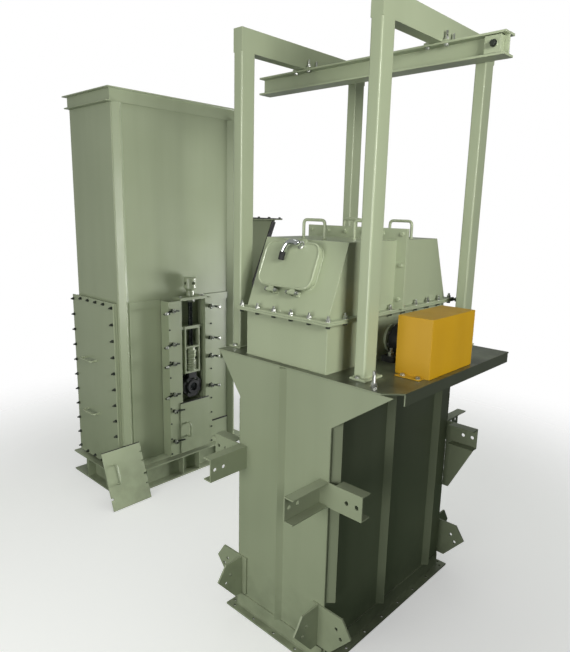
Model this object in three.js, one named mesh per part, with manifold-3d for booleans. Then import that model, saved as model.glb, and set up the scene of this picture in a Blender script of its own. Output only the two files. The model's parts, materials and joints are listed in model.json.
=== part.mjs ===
// Bucket elevator supplied as two free-standing sections: the head section, with its
// pulley box, hood, service platform and lifting monorail, and the boot section, with
// its screw take-up, inlet chute and cleaning doors. Millimetres, +Z up.
import * as THREE from "three";
import { mergeVertices } from "three/addons/utils/BufferGeometryUtils.js";
import Module from "manifold-3d";

const wasm = await Module();
wasm.setup();

// ---------- driving dimensions ----------
const GAP = 0.3; // between parts that touch
const SHEET = 6; // casing plate
const FLANGE = 8; // flange and bracket plate

// Casing plan, shared by both sections: half length along the belt.
const CASING_Y = 460;

// Head section.
const HEAD_X = 250; // half width
const DECK_TOP = 1195;
const DECK = { x0: -392, x1: 515, y: 460, skirt: 40, chamfer: 60 };
const BOX = { x0: -244, x1: 188, y0: -428, y1: 448, top: 1393 }; // pulley box
const HOOD = { foot: 1401, top: 1682, inset: 110, sheet: 5 };
const HOOD_Y = (BOX.y0 + BOX.y1) / 2; // centre of hood, shaft and joint flange
const HOOD_X = (BOX.x0 + BOX.x1) / 2;
const JOINT_FLANGE = 48; // how far the hood's middle flange stands out
const RIM = 30; // flange width round box and hood
const SHAFT_Z = 1275;
const SHAFT_R = 30;
const PULLEY_R = 250;
const SPOUT = { half: 150, z0: 820, z1: 1120, reach: 90, rim: 35 }; // discharge
const PORTAL = { w: 50, d: 75, y0: -384, y1: 447, top: 2500, beam: 90 };
const PORTAL_LEFT_X = -385;
const PORTAL_RIGHT_X = 282;
const RAIL = { x0: -626, x1: 572, y: 31, w: 75, h: 78, web: 6, flange: 8 };
const GUARD = { x0: 347, x1: 492, y0: -205, y1: 130, top: 1420, sheet: 3 };

// Boot section, in its own group: its casing's middle is the group's origin.
const BOOT_POSITION = new THREE.Vector3(-1768, 176, 0);
const BOOT_X = 240; // half width
const BOOT_TOP = 2437;
const BOOT_BASE = 140; // height of the base channels
const RING = 76; // height of the top channel ring
const COVER_TOP = 1222; // top of the lower, bolted part
const TAKEUP_Y = 30; // take-up line from the casing's middle
const TAKEUP_DEPTH = 90; // how far the take-up frame stands out
const TAKEUP_HALF = 95; // half width of its opening
const TAKEUP = { y0: -165, y1: 181, z0: 183, z1: 1213, door: 530 };
const SCREW_X = BOOT_X + 55; // screw and bearing line
const BOOT_SHAFT_Z = 622;
const BOOT_SHAFT_R = 27;
const BOOT_PULLEY_R = 225;
const YOKE_TOP = 1037;
const SCREW_END = 905; // lower end of the screw, inside the yoke
const TAKEUP_TRAVEL = 140;
const CHUTE = { half: 200, out: 930, top: 1722, foot: 700 };

// ---------- materials ----------
const finish = (color, roughness, metalness) =>
  new THREE.MeshStandardMaterial({ color, roughness, metalness });
const PAINT = finish(0xa0aa8c, 0.42, 0);
const YELLOW = finish(0xc3961b, 0.5, 0);
const CHROME = finish(0xc9ccd0, 0.15, 1);
const STEEL = finish(0x9a9c9c, 0.4, 0.9);
const IRON = finish(0x25292a, 0.6, 0.2);
const ZINC = finish(0xb9bcb8, 0.35, 0.8);

// ---------- solids ----------
function solid(geometry) {
  const bare = new THREE.BufferGeometry();
  bare.setAttribute("position", geometry.getAttribute("position"));
  if (geometry.index) bare.setIndex(geometry.index);
  const merged = mergeVertices(bare, 1e-4);
  return new wasm.Manifold(
    new wasm.Mesh({
      numProp: 3,
      vertProperties: new Float32Array(merged.attributes.position.array),
      triVerts: new Uint32Array(merged.index.array),
    }),
  );
}

const join = (...pieces) => pieces.flat().reduce((a, b) => a.add(b));
const cut = (body, ...tools) => tools.flat().reduce((a, b) => a.subtract(b), body);

function box(x0, x1, y0, y1, z0, z1) {
  const g = new THREE.BoxGeometry(x1 - x0, y1 - y0, z1 - z0);
  g.translate((x0 + x1) / 2, (y0 + y1) / 2, (z0 + z1) / 2);
  return solid(g);
}

// Cylinder from a to b along "x", "y" or "z", with its axis through (u, v).
function rod(along, r, a, b, u, v, sides = 20) {
  const g = new THREE.CylinderGeometry(r, r, b - a, sides);
  const mid = (a + b) / 2;
  if (along === "x") g.rotateZ(Math.PI / 2).translate(mid, u, v);
  if (along === "y") g.translate(u, mid, v);
  if (along === "z") g.rotateX(Math.PI / 2).translate(u, v, mid);
  return solid(g);
}

// Flat plate from an outline. In plane "yz" it runs from x = a to b, in "xz" from
// y = a to b, and in "xy" from z = a to b.
function plate(plane, outline, a, b) {
  const shape = new THREE.Shape(outline.map(([u, v]) => new THREE.Vector2(u, v)));
  const g = new THREE.ExtrudeGeometry(shape, {
    depth: b - a,
    bevelEnabled: false,
    steps: 1,
  });
  const turn = new THREE.Matrix4();
  if (plane === "yz") turn.set(0, 0, 1, a, 1, 0, 0, 0, 0, 1, 0, 0, 0, 0, 0, 1);
  if (plane === "xz") turn.set(1, 0, 0, 0, 0, 0, -1, b, 0, 1, 0, 0, 0, 0, 0, 1);
  if (plane === "xy") turn.makeTranslation(0, 0, a);
  g.applyMatrix4(turn);
  return solid(g);
}

// Rectangle with rounded corners, as points.
function roundedOutline(u0, u1, v0, v1, r, steps = 4) {
  const corners = [
    [u1 - r, v1 - r, 0],
    [u0 + r, v1 - r, 1],
    [u0 + r, v0 + r, 2],
    [u1 - r, v0 + r, 3],
  ];
  return corners.flatMap(([u, v, quarter]) =>
    Array.from({ length: steps + 1 }, (_, i) => {
      const angle = ((quarter + i / steps) * Math.PI) / 2;
      return [u + r * Math.cos(angle), v + r * Math.sin(angle)];
    }),
  );
}

// Upright ring of plate: the space between two rectangles in plan.
function ring([x0, x1, y0, y1], wall, z0, z1) {
  return cut(
    box(x0, x1, y0, y1, z0, z1),
    box(x0 + wall, x1 - wall, y0 + wall, y1 - wall, z0 - 1, z1 + 1),
  );
}

// Round bar bent to a D: two legs and a grip, with its feet at a and b.
function handle(a, b, out, reach, r = 6) {
  const bend = 3 * r;
  const rise = out.clone().multiplyScalar(reach);
  const along = b.clone().sub(a).normalize().multiplyScalar(bend);
  const path = new THREE.CurvePath();
  const topA = a.clone().add(rise);
  const topB = b.clone().add(rise);
  const drop = out.clone().multiplyScalar(bend);
  const p = [a, topA.clone().sub(drop), topA.clone().add(along)];
  const q = [topB.clone().sub(along), topB.clone().sub(drop), b];
  path.add(new THREE.LineCurve3(p[0], p[1]));
  path.add(new THREE.QuadraticBezierCurve3(p[1], topA, p[2]));
  path.add(new THREE.LineCurve3(p[2], q[0]));
  path.add(new THREE.QuadraticBezierCurve3(q[0], topB, q[1]));
  path.add(new THREE.LineCurve3(q[1], q[2]));
  const section = new THREE.Shape(
    Array.from({ length: 6 }, (_, i) => {
      const t = (i * Math.PI) / 3;
      return new THREE.Vector2(r * Math.cos(t), r * Math.sin(t));
    }),
  );
  return solid(
    new THREE.ExtrudeGeometry(section, { steps: 16, extrudePath: path }),
  );
}

// Radius of a faceted bore that clears a shaft of radius r at every angle.
const boreRadius = (r, sides) => (r + GAP / 2) / Math.cos(Math.PI / sides);

// Spaced positions from a to b, both ends included, near the wanted pitch.
function spaced(a, b, pitch) {
  const n = Math.max(1, Math.round((b - a) / pitch));
  return Array.from({ length: n + 1 }, (_, i) => a + ((b - a) * i) / n);
}

const V = (x, y, z) => new THREE.Vector3(x, y, z);

const machine = new THREE.Group();
const head = new THREE.Group();
const boot = new THREE.Group();
boot.position.copy(BOOT_POSITION);
machine.add(head, boot);

function part(group, name, body, material) {
  const data = body.getMesh();
  const g = new THREE.BufferGeometry();
  g.setAttribute("position", new THREE.BufferAttribute(data.vertProperties, 3));
  g.setIndex(new THREE.BufferAttribute(data.triVerts, 1));
  g.computeVertexNormals();
  const mesh = new THREE.Mesh(g, material.clone());
  mesh.name = name;
  group.add(mesh);
}

// ---------- shared details ----------
const RIB = 27; // half width and height of the angle-iron stiffeners

// Stiffener of angle iron, toes on the wall, standing on a face across X or Y.
function rib(face, wall, centre, z0, z1, size = RIB) {
  const side = Math.sign(wall);
  const tip = wall + side * size;
  const root = wall - side;
  const outline =
    face === "x"
      ? [
          [root, centre - size],
          [tip, centre],
          [root, centre + size],
        ]
      : [
          [centre - size, root],
          [centre, tip],
          [centre + size, root],
        ];
  if (THREE.ShapeUtils.area(outline.map(([x, y]) => ({ x, y }))) < 0)
    outline.reverse();
  return plate("xy", outline, z0, z1);
}

// ---------- head section: casing ----------
const WALL_FOOT = 8 + GAP;
const WALL_HEAD = DECK_TOP - SHEET - GAP;
const BAND = 72; // stiffening band at the foot of the casing

// End wall of the head casing, with the wings that carry the platform's ends.
function headEndWall(side) {
  const a = side * CASING_Y;
  const [y0, y1] = side < 0 ? [a, a + SHEET] : [a - SHEET, a];
  const wingFoot = 1010;
  const sheet = plate(
    "xz",
    [
      [-HEAD_X, WALL_FOOT],
      [HEAD_X, WALL_FOOT],
      [HEAD_X, wingFoot],
      [DECK.x1 - 12, WALL_HEAD - 2],
      [DECK.x1 - 12, WALL_HEAD],
      [DECK.x0 + 10, WALL_HEAD],
      [DECK.x0 + 10, WALL_HEAD - 2],
      [-HEAD_X, wingFoot],
    ],
    y0,
    y1,
  );
  const proud = side < 0 ? [a - FLANGE, a + 1] : [a - 1, a + FLANGE];
  const band = box(-HEAD_X, HEAD_X, ...proud, WALL_FOOT, BAND);
  const wall = join(sheet, rib("y", a, 0, BAND - 1, WALL_HEAD, 22), band);
  if (side < 0) return wall;
  const { half, z0, z1, rim } = SPOUT;
  const mouth = box(-half + 5, half - 5, y0 - 1, y1 + 1, z0 + 5, z1 - 5);
  return cut(wall, mouth, box(-half, half, a, a + 30, z0 - rim - GAP, z1 + rim + GAP));
}

part(head, "head_wall_front", headEndWall(-1), PAINT);
part(head, "head_wall_back", headEndWall(1), PAINT);

// Side wall of the head casing, between the end walls.
function headSideWall(side) {
  const a = side * HEAD_X;
  const [x0, x1] = side < 0 ? [a, a + SHEET] : [a - SHEET, a];
  const y = CASING_Y - SHEET - GAP;
  const sheet = box(x0, x1, -y, y, WALL_FOOT, WALL_HEAD);
  const ribs = [-CASING_Y + 38, -62, 335].map((c) =>
    rib("x", a, c, c < -100 ? 272 : BAND - 1, WALL_HEAD - DECK.skirt),
  );
  const proud = side < 0 ? [a - FLANGE, a + 1] : [a - 1, a + FLANGE];
  const band = box(...proud, -y, y, WALL_FOOT, BAND);
  return join(sheet, ribs, band);
}

part(head, "head_wall_left", headSideWall(-1), PAINT);
part(head, "head_wall_right", headSideWall(1), PAINT);

// Bolted flange under the casing.
const FOOT_RIM = 40;
function flangeHoles(x, y, z0, z1, r = 7) {
  const across = spaced(-x + 24, x - 24, 125);
  const down = spaced(-y + 24, y - 24, 125);
  return [
    ...across.flatMap((u) => [-y, y].map((v) => rod("z", r, z0, z1, u, v, 6))),
    ...down.flatMap((v) => [-x, x].map((u) => rod("z", r, z0, z1, u, v, 6))),
  ];
}
part(
  head,
  "head_base_flange",
  cut(
    ring(
      [
        -HEAD_X - FOOT_RIM,
        HEAD_X + FOOT_RIM,
        -CASING_Y - FOOT_RIM,
        CASING_Y + FOOT_RIM,
      ],
      FOOT_RIM + SHEET,
      0,
      8,
    ),
    flangeHoles(HEAD_X + 24, CASING_Y + 24, -1, 9),
  ),
  PAINT,
);

// ---------- head section: bracket arms and gussets at the four corners ----------
const ARM = { z0: 695, z1: 795, lip: 45, wall: 5, inset: 45, x: 408, y: 660 };

// Two channel arms that meet at one corner: one along X on the end wall, one along Y.
function upperBracket(sx, sy) {
  const t = ARM.wall;
  const start = HEAD_X - ARM.inset;
  const face = CASING_Y + GAP;
  const u = [start, ARM.x];
  const v = [face, face + t];
  const back = CASING_Y - ARM.lip;
  const along = join(
    box(...u, ...v, ARM.z0, ARM.z1),
    box(HEAD_X + 34, ARM.x, back, face + 1, ARM.z0, ARM.z0 + t),
    box(HEAD_X + 34, ARM.x, back, face + 1, ARM.z1 - t, ARM.z1),
  );
  const across = join(
    box(start, start + t, face, ARM.y, ARM.z0, ARM.z1),
    box(start, start + ARM.lip, face + t, ARM.y, ARM.z0, ARM.z0 + t),
    box(start, start + ARM.lip, face + t, ARM.y, ARM.z1 - t, ARM.z1),
  );
  const mid = (ARM.z0 + ARM.z1) / 2;
  const holes = [24, 70].flatMap((d) => [
    rod("y", 9, face - 1, face + t + 1, ARM.x - d, mid, 10),
    rod("x", 9, start - 1, start + t + 1, ARM.y - d, mid, 10),
  ]);
  const knee =
    sy > 0
      ? [
          plate(
            "xz",
            [
              [HEAD_X + 2, 455],
              [HEAD_X + 32, 455],
              [ARM.x - 6, ARM.z0 + 1],
              [HEAD_X + 2, ARM.z0 + 1],
            ],
            face,
            face + t,
          ),
        ]
      : [];
  const arms = cut(join(along, across, knee), holes);
  return mirrored(arms, sx, sy);
}

function mirrored(body, sx, sy) {
  let out = body;
  if (sx < 0) out = out.mirror([1, 0, 0]);
  if (sy < 0) out = out.mirror([0, 1, 0]);
  return out;
}

// Two gusset plates with bolt holes at one corner, near the foot.
function lowerBracket(sx, sy) {
  const outline = [
    [-55, 80],
    [-1, 80],
    [40, 80],
    [140, 195],
    [95, 262],
    [-55, 262],
  ];
  const face = CASING_Y + GAP + FLANGE;
  const x = HEAD_X + GAP + FLANGE;
  const along = plate(
    "xz",
    outline.map(([u, z]) => [HEAD_X + u, z]),
    CASING_Y + GAP,
    face,
  );
  const across = plate(
    "yz",
    outline.slice(1, 5).map(([u, z]) => [face + u - 1, z]).concat([[face - 2, 262]]),
    HEAD_X - 30,
    HEAD_X - 30 + FLANGE,
  );
  const holes = [
    [70, 205],
    [92, 172],
  ].flatMap(([u, z]) => [
    rod("y", 8, CASING_Y - 1, face + 1, HEAD_X + u, z, 10),
    rod("x", 8, HEAD_X - 31, x, face + u, z, 10),
  ]);
  return mirrored(cut(join(along, across), holes), sx, sy);
}

const CORNERS = [
  ["front_left", -1, -1],
  ["front_right", 1, -1],
  ["back_left", -1, 1],
  ["back_right", 1, 1],
];
for (const [name, sx, sy] of CORNERS) {
  part(head, `upper_bracket_${name}`, upperBracket(sx, sy), PAINT);
  part(head, `lower_bracket_${name}`, lowerBracket(sx, sy), PAINT);
}

// ---------- head section: discharge spout on the back wall ----------
function dischargeSpout() {
  const y0 = CASING_Y + GAP;
  const y1 = CASING_Y + SPOUT.reach;
  const { half, z0, z1, rim } = SPOUT;
  const duct = box(-half, half, y0, y1, z0, z1);
  const rimBox = (a, b) => box(-half - rim, half + rim, a, b, z0 - rim, z1 + rim);
  const inside = box(-half + 5, half - 5, y0 - 1, y1 + 1, z0 + 5, z1 - 5);
  const ringPlates = join(duct, rimBox(y0, y0 + 6), rimBox(y1 - 8, y1));
  return cut(ringPlates, inside);
}
part(head, "discharge_spout", dischargeSpout(), PAINT);

// ---------- head section: platform ----------
function platformDeck() {
  const { x0, x1, y, skirt, chamfer } = DECK;
  const outline = [
    [x0, -y],
    [x1 - chamfer, -y],
    [x1, -y + chamfer],
    [x1, y],
    [x0, y],
  ];
  const under = DECK_TOP - SHEET;
  const top = plate("xy", outline, under, DECK_TOP);
  const hole = box(BOX.x0 + 8, BOX.x1 - 8, BOX.y0 + 8, BOX.y1 - 8, under - 1, DECK_TOP + 1);
  const t = 5;
  const skirts = join(
    box(x0, x0 + t, -y + SHEET + 2, y - SHEET - 2, under - skirt, under + 1),
    box(x1 - t, x1, -y + chamfer, y - SHEET - 2, under - skirt, under + 1),
  );
  return cut(join(top, skirts), hole);
}
part(head, "platform_deck", platformDeck(), PAINT);

// ---------- head section: pulley box and hood ----------
const BOX_PLAN = [BOX.x0, BOX.x1, BOX.y0, BOX.y1];
const RIM_PLAN = [BOX.x0 - RIM, BOX.x1 + RIM, BOX.y0 - RIM, BOX.y1 + RIM];

function pulleyBox() {
  const base = DECK_TOP + GAP;
  const walls = ring(BOX_PLAN, SHEET, base, BOX.top);
  const rim = ring(RIM_PLAN, RIM + SHEET, BOX.top - 8, BOX.top);
  const boss = [
    rod("x", 62, BOX.x1 - 1, BOX.x1 + 10, HOOD_Y, SHAFT_Z, 24),
    rod("x", 62, BOX.x0 - 10, BOX.x0 + 1, HOOD_Y, SHAFT_Z, 24),
  ];
  const bore = rod("x", SHAFT_R + 3, BOX.x0 - 20, BOX.x1 + 20, HOOD_Y, SHAFT_Z, 24);
  return cut(join(walls, rim, boss), bore);
}
part(head, "pulley_box", pulleyBox(), PAINT);

const SLOPE = HOOD.inset / (HOOD.top - HOOD.foot);
const slopeY = (z) => BOX.y0 + (z - HOOD.foot) * SLOPE; // front slope of the hood
const TILT = Math.atan(SLOPE);

// Half of the hood on one side of the middle flange: side -1 is the front half.
function hoodHalf(side) {
  const { foot, top, inset, sheet } = HOOD;
  const z0 = BOX.top + GAP;
  const end = side < 0 ? BOX.y0 : BOX.y1;
  const mid = HOOD_Y + (side * GAP) / 2;
  const flat = end - side * inset;
  const outer = [
    [end, foot - 2],
    [mid, foot - 2],
    [mid, top],
    [flat, top],
  ];
  const k = sheet / Math.cos(TILT);
  const inner = [
    [end - side * (k - 12 * SLOPE), foot - 14],
    [mid + side * -40, foot - 14],
    [mid + side * -40, top - sheet],
    [flat - side * (k - sheet * SLOPE), top - sheet],
  ];
  if (side > 0) {
    outer.reverse();
    inner.reverse();
  }
  const shell = plate("yz", outer, BOX.x0, BOX.x1);
  const hollow = plate("yz", inner, BOX.x0 + sheet, BOX.x1 - sheet);
  const yFoot = side < 0 ? [RIM_PLAN[2], mid] : [mid, RIM_PLAN[3]];
  const footRim = cut(
    box(RIM_PLAN[0], RIM_PLAN[1], ...yFoot, z0, foot),
    box(BOX.x0 + SHEET, BOX.x1 - SHEET, BOX.y0 + SHEET, BOX.y1 - SHEET, z0 - 1, foot + 1),
  );
  const yJoint = side < 0 ? [mid - 8, mid] : [mid, mid + 8];
  const f = JOINT_FLANGE;
  const joint = cut(
    box(BOX.x0 - f, BOX.x1 + f, ...yJoint, foot - 1, top + f),
    box(BOX.x0 + sheet, BOX.x1 - sheet, yJoint[0] - 1, yJoint[1] + 1, z0 - 1, top - sheet),
  );
  const handles = hoodHandles(side);
  return join(cut(join(shell, footRim), hollow), joint, handles);
}

// Lifting handles on the flat top of one half of the hood.
function hoodHandles(side) {
  const z = HOOD.top - 2;
  const up = V(0, 0, 1);
  if (side < 0)
    return [
      handle(V(-88, -262, z), V(22, -262, z), up, 78),
      handle(V(62, -120, z), V(172, -120, z), up, 78),
    ];
  return [
    handle(V(-200, 150, z), V(-90, 150, z), up, 78),
    handle(V(55, 150, z), V(165, 150, z), up, 78),
  ];
}

// ---------- head section: inspection hatch on the front slope ----------
const HATCH = { x: -55, half: 145, v0: 92, v1: 282, r: 46, collar: 24, thick: 7 };

// Moves a solid drawn with x across, y up the slope and z out of it onto the slope.
function onSlope(body) {
  const up = V(0, Math.sin(TILT), Math.cos(TILT));
  const out = V(0, -Math.cos(TILT), Math.sin(TILT));
  const m = new THREE.Matrix4().makeBasis(V(1, 0, 0), up, out);
  m.setPosition(0, BOX.y0, HOOD.foot);
  return body.transform(m.elements);
}

function hatchCollar() {
  const { x, half, v0, v1, r, collar } = HATCH;
  const o = roundedOutline(x - half + 6, x + half - 6, v0 + 6, v1 - 6, r - 4);
  return onSlope(plate("xy", o, -4, collar));
}

function hatchPassage() {
  const { x, half, v0, v1, r, collar } = HATCH;
  const o = roundedOutline(x - half + 14, x + half - 14, v0 + 14, v1 - 14, r - 12);
  return onSlope(plate("xy", o, -20, collar + 1));
}

const HINGE = { v: HATCH.v0 - 14, out: HATCH.collar + 2, r: 7, at: [-112, 2], half: 20 };

// Hinge lugs on the hood: two ears either side of each door knuckle.
function hatchHingeLugs() {
  return HINGE.at.flatMap((x) =>
    [-1, 1].map((s) => {
      const a = x + s * (HINGE.half - 4);
      const lug = plate(
        "yz",
        [
          [HINGE.v - 9, -4],
          [HINGE.v + 9, -4],
          [HINGE.v + 9, HINGE.out],
          [HINGE.v + 5, HINGE.out + 8],
          [HINGE.v - 5, HINGE.out + 8],
          [HINGE.v - 9, HINGE.out],
        ],
        a - 4,
        a + 4,
      );
      const hole = rod("x", 5.4, a - 6, a + 6, HINGE.v, HINGE.out, 12);
      return onSlope(cut(lug, hole));
    }),
  );
}

part(
  head,
  "hood_front",
  join(cut(join(hoodHalf(-1), hatchCollar()), hatchPassage()), hatchHingeLugs()),
  PAINT,
);
part(head, "hood_rear", hoodHalf(1), PAINT);

// Hatch door with two knuckles, its hinge pins and the latch's boss.
const LATCH = { x: -12, v: HATCH.v1 - 14, boss: 12 };
function hatchDoor() {
  const { x, half, v0, v1, r, collar, thick } = HATCH;
  const z0 = collar + GAP;
  const z1 = z0 + thick;
  const leaf = plate("xy", roundedOutline(x - half, x + half, v0, v1, r, 5), z0, z1);
  const lip = plate(
    "xy",
    roundedOutline(LATCH.x - 22, LATCH.x + 22, v1 - 30, v1 + 12, 8, 2),
    z0,
    z1,
  );
  const knuckles = HINGE.at.flatMap((u) => {
    const w = HINGE.half - 8 - 2 * GAP;
    return [
      box(u - w, u + w, HINGE.v, v0 + 20, z0, z1),
      rod("x", 8, u - w, u + w, HINGE.v, HINGE.out, 8),
      rod("x", 5, u - HINGE.half - 2, u + HINGE.half + 2, HINGE.v, HINGE.out, 8),
    ];
  });
  const boss = rod("z", LATCH.boss, z1 - 1, z1 + 6, LATCH.x, LATCH.v, 16);
  return onSlope(join(leaf, lip, knuckles, boss));
}
part(head, "hatch_door", hatchDoor(), PAINT);

// Cranked lever of the latch: out of the boss, sideways, then down across the door.
function latchLever() {
  const z0 = HATCH.collar + HATCH.thick + 6 + 2 * GAP;
  const spindle = rod("z", 7, z0, z0 + 22, LATCH.x, LATCH.v, 14);
  const crown = rod("z", 11, z0 + 10, z0 + 24, LATCH.x, LATCH.v, 16);
  const path = new THREE.CatmullRomCurve3([
    V(LATCH.x, LATCH.v, z0 + 18),
    V(LATCH.x - 30, LATCH.v + 3, z0 + 22),
    V(LATCH.x - 54, LATCH.v - 8, z0 + 22),
    V(LATCH.x - 66, LATCH.v - 34, z0 + 18),
    V(LATCH.x - 70, LATCH.v - 72, z0 + 10),
  ]);
  const section = new THREE.Shape(
    roundedOutline(-8, 8, -5, 5, 4, 1).map(([u, v]) => new THREE.Vector2(u, v)),
  );
  const arm = solid(
    new THREE.ExtrudeGeometry(section, { steps: 10, extrudePath: path }),
  );
  return onSlope(join(spindle, crown, arm));
}
part(head, "hatch_latch_lever", latchLever(), CHROME);

// ---------- head section: shaft, pulley, bearings, coupling and guard ----------
const HEAD_SHAFT = { x0: -326, x1: 452 };
part(
  head,
  "head_shaft",
  rod("x", SHAFT_R, HEAD_SHAFT.x0, HEAD_SHAFT.x1, HOOD_Y, SHAFT_Z, 20),
  STEEL,
);

// Pulley with a rim, one middle web and a hub, around a shaft along X.
function drum(r, x0, x1, y, z, bore, sides) {
  const mid = (x0 + x1) / 2;
  const hub = bore + 26;
  const half = [
    [bore + GAP, x0 - 20],
    [hub, x0 - 20],
    [hub, mid - 7],
    [r - 12, mid - 7],
    [r - 12, x0],
    [r, x0],
  ];
  const profile = [...half, ...half.toReversed().map(([u, v]) => [u, 2 * mid - v])];
  const points = [...profile, profile[0]].map(([u, v]) => new THREE.Vector2(u, v));
  const g = new THREE.LatheGeometry(points, sides);
  g.rotateZ(-Math.PI / 2);
  g.translate(0, y, z);
  return solid(g);
}
part(
  head,
  "head_pulley",
  drum(PULLEY_R, HOOD_X - 165, HOOD_X + 165, HOOD_Y, SHAFT_Z, SHAFT_R, 28),
  STEEL,
);

// Plummer block: foot, pedestal and round bearing body, bored for the shaft.
function plummerBlock(x) {
  const w = 30;
  const base = DECK_TOP + GAP;
  const body = join(
    box(x - w, x + w, HOOD_Y - 110, HOOD_Y + 110, base, base + 24),
    box(x - w, x + w, HOOD_Y - 55, HOOD_Y + 55, base + 20, SHAFT_Z),
    rod("x", 62, x - w, x + w, HOOD_Y, SHAFT_Z, 20),
    rod("x", 44, x - w - 8, x + w + 8, HOOD_Y, SHAFT_Z, 16),
  );
  return cut(body, rod("x", boreRadius(SHAFT_R, 20), x - 60, x + 60, HOOD_Y, SHAFT_Z, 20));
}
part(head, "plummer_block_right", plummerBlock(242), IRON);
part(head, "plummer_block_left", plummerBlock(-294), IRON);

part(
  head,
  "shaft_coupling",
  cut(
    join(
      rod("x", 70, 424, 452, HOOD_Y, SHAFT_Z, 24),
      rod("x", 46, 386, 430, HOOD_Y, SHAFT_Z, 20),
    ),
    rod("x", SHAFT_R + GAP, 380, 460, HOOD_Y, SHAFT_Z, 20),
  ),
  IRON,
);

// Sheet guard over the shaft end: open below, slotted for the shaft.
function couplingGuard() {
  const { x0, x1, y0, y1, top, sheet } = GUARD;
  const base = DECK_TOP + GAP;
  const shell = cut(
    box(x0, x1, y0, y1, base, top),
    box(x0 + sheet, x1 - sheet, y0 + sheet, y1 - sheet, base - 1, top - sheet),
  );
  const feet = [
    box(x0 + 20, x1 - 20, y0 - 38, y0 + 1, base, base + sheet),
    box(x0 + 20, x1 - 20, y1 - 1, y1 + 38, base, base + sheet),
  ];
  const c = SHAFT_R + 14;
  const slot = join(
    rod("x", c, x0 - 1, x0 + sheet + 1, HOOD_Y, SHAFT_Z, 20),
    box(x0 - 1, x0 + sheet + 1, HOOD_Y - c, HOOD_Y + c, base - 1, SHAFT_Z),
  );
  return cut(join(shell, feet), slot);
}
part(head, "coupling_guard", couplingGuard(), YELLOW);

// ---------- head section: portals and monorail ----------
function portal(x) {
  const { w, d, y0, y1, top, beam } = PORTAL;
  const base = DECK_TOP + GAP;
  const post = (y) =>
    join(
      plate("xy", roundedOutline(x, x + w, y, y + d, 8, 2), base + 6, top - 20),
      box(x - 4, x + w + 16, y - 18, y + d + 18, base, base + 8),
    );
  const beamBar = box(x, x + w, y0, y1, top - beam, top);
  return join(post(y0), post(y1 - d), beamBar);
}
part(head, "portal_frame_left", portal(PORTAL_LEFT_X), PAINT);
part(head, "portal_frame_right", portal(PORTAL_RIGHT_X), PAINT);

const RAIL_TOP = PORTAL.top - PORTAL.beam - GAP;
function monorail() {
  const { x0, x1, y, w, h, web, flange } = RAIL;
  return join(
    box(x0, x1, y - w / 2, y + w / 2, RAIL_TOP - flange, RAIL_TOP),
    box(x0, x1, y - web / 2, y + web / 2, RAIL_TOP - h, RAIL_TOP),
    box(x0, x1, y - w / 2, y + w / 2, RAIL_TOP - h, RAIL_TOP - h + flange),
  );
}
part(head, "monorail_beam", monorail(), PAINT);
const STOP = { x0: RAIL.x1 - 78, x1: RAIL.x1 - 18, thick: 28 };
part(
  head,
  "monorail_stop",
  join(
    box(
      STOP.x0,
      STOP.x1,
      RAIL.y - RAIL.web / 2 - GAP - STOP.thick,
      RAIL.y - RAIL.web / 2 - GAP,
      RAIL_TOP - RAIL.h + RAIL.flange + 2,
      RAIL_TOP - RAIL.flange - 2,
    ),
    rod(
      "y",
      12,
      RAIL.y - RAIL.web / 2 - GAP - STOP.thick - 9,
      RAIL.y - RAIL.web / 2 - GAP - STOP.thick + 1,
      (STOP.x0 + STOP.x1) / 2 + 8,
      RAIL_TOP - RAIL.h / 2,
      6,
    ),
  ),
  PAINT,
);

// ---------- boot section: casing ----------
const BOOT_FOOT = BOOT_BASE + GAP;
const BOOT_HEAD = BOOT_TOP - RING - GAP;

function bootEndWall(side) {
  const a = side * CASING_Y;
  const [y0, y1] = side < 0 ? [a, a + SHEET] : [a - SHEET, a];
  const sheet = box(-BOOT_X, BOOT_X, y0, y1, BOOT_FOOT, BOOT_HEAD);
  if (side < 0) return cut(sheet, box(-170, 170, y0 - 1, y1 + 1, 260, 1140));
  const mouth = box(-CHUTE.half + 8, CHUTE.half - 8, y0 - 1, y1 + 1, CHUTE.foot + 60, 1690);
  return cut(sheet, mouth);
}
part(boot, "boot_wall_front", bootEndWall(-1), PAINT);
part(boot, "boot_wall_back", bootEndWall(1), PAINT);

// Side wall with corner stiffeners, a level band and the slot for the shaft.
function bootSideWall(side) {
  const a = side * BOOT_X;
  const [x0, x1] = side < 0 ? [a, a + SHEET] : [a - SHEET, a];
  const y = CASING_Y - SHEET - GAP;
  const proud = (d) => (side < 0 ? [a - d, a + 1] : [a - 1, a + d]);
  const sheet = box(x0, x1, -y, y, BOOT_FOOT, BOOT_HEAD);
  const r = 32;
  const corners = [-y + r, y - r].map((c) => rib("x", a, c, BOOT_FOOT, BOOT_HEAD, r));
  const bands = join(
    box(...proud(8), -y + 2 * r, TAKEUP.y0 - 2, COVER_TOP - 45, COVER_TOP),
    box(...proud(8), TAKEUP.y1 + 2, y - 2 * r, COVER_TOP - 45, COVER_TOP),
    box(...proud(8), -y + 2 * r, y - 2 * r, BOOT_FOOT, TAKEUP.z0 - 3),
    box(...proud(8), -y + 2 * r, -y + 2 * r + 10, BOOT_FOOT, COVER_TOP),
    box(...proud(6), TAKEUP.y1 + 14, y - 2 * r - 4, TAKEUP.z0, 302),
  );
  const slot = box(
    x0 - 10,
    x1 + 10,
    TAKEUP_Y - 60,
    TAKEUP_Y + 60,
    BOOT_SHAFT_Z - 60,
    BOOT_SHAFT_Z + 230,
  );
  const cleanOut = box(
    x0 - 10,
    x1 + 10,
    TAKEUP_Y - 80,
    TAKEUP_Y + 80,
    TAKEUP.z0 + 25,
    TAKEUP.door - 30,
  );
  return cut(join(sheet, corners, bands), slot, cleanOut);
}
part(boot, "boot_wall_left", bootSideWall(-1), PAINT);
part(boot, "boot_wall_right", bootSideWall(1), PAINT);

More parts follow.
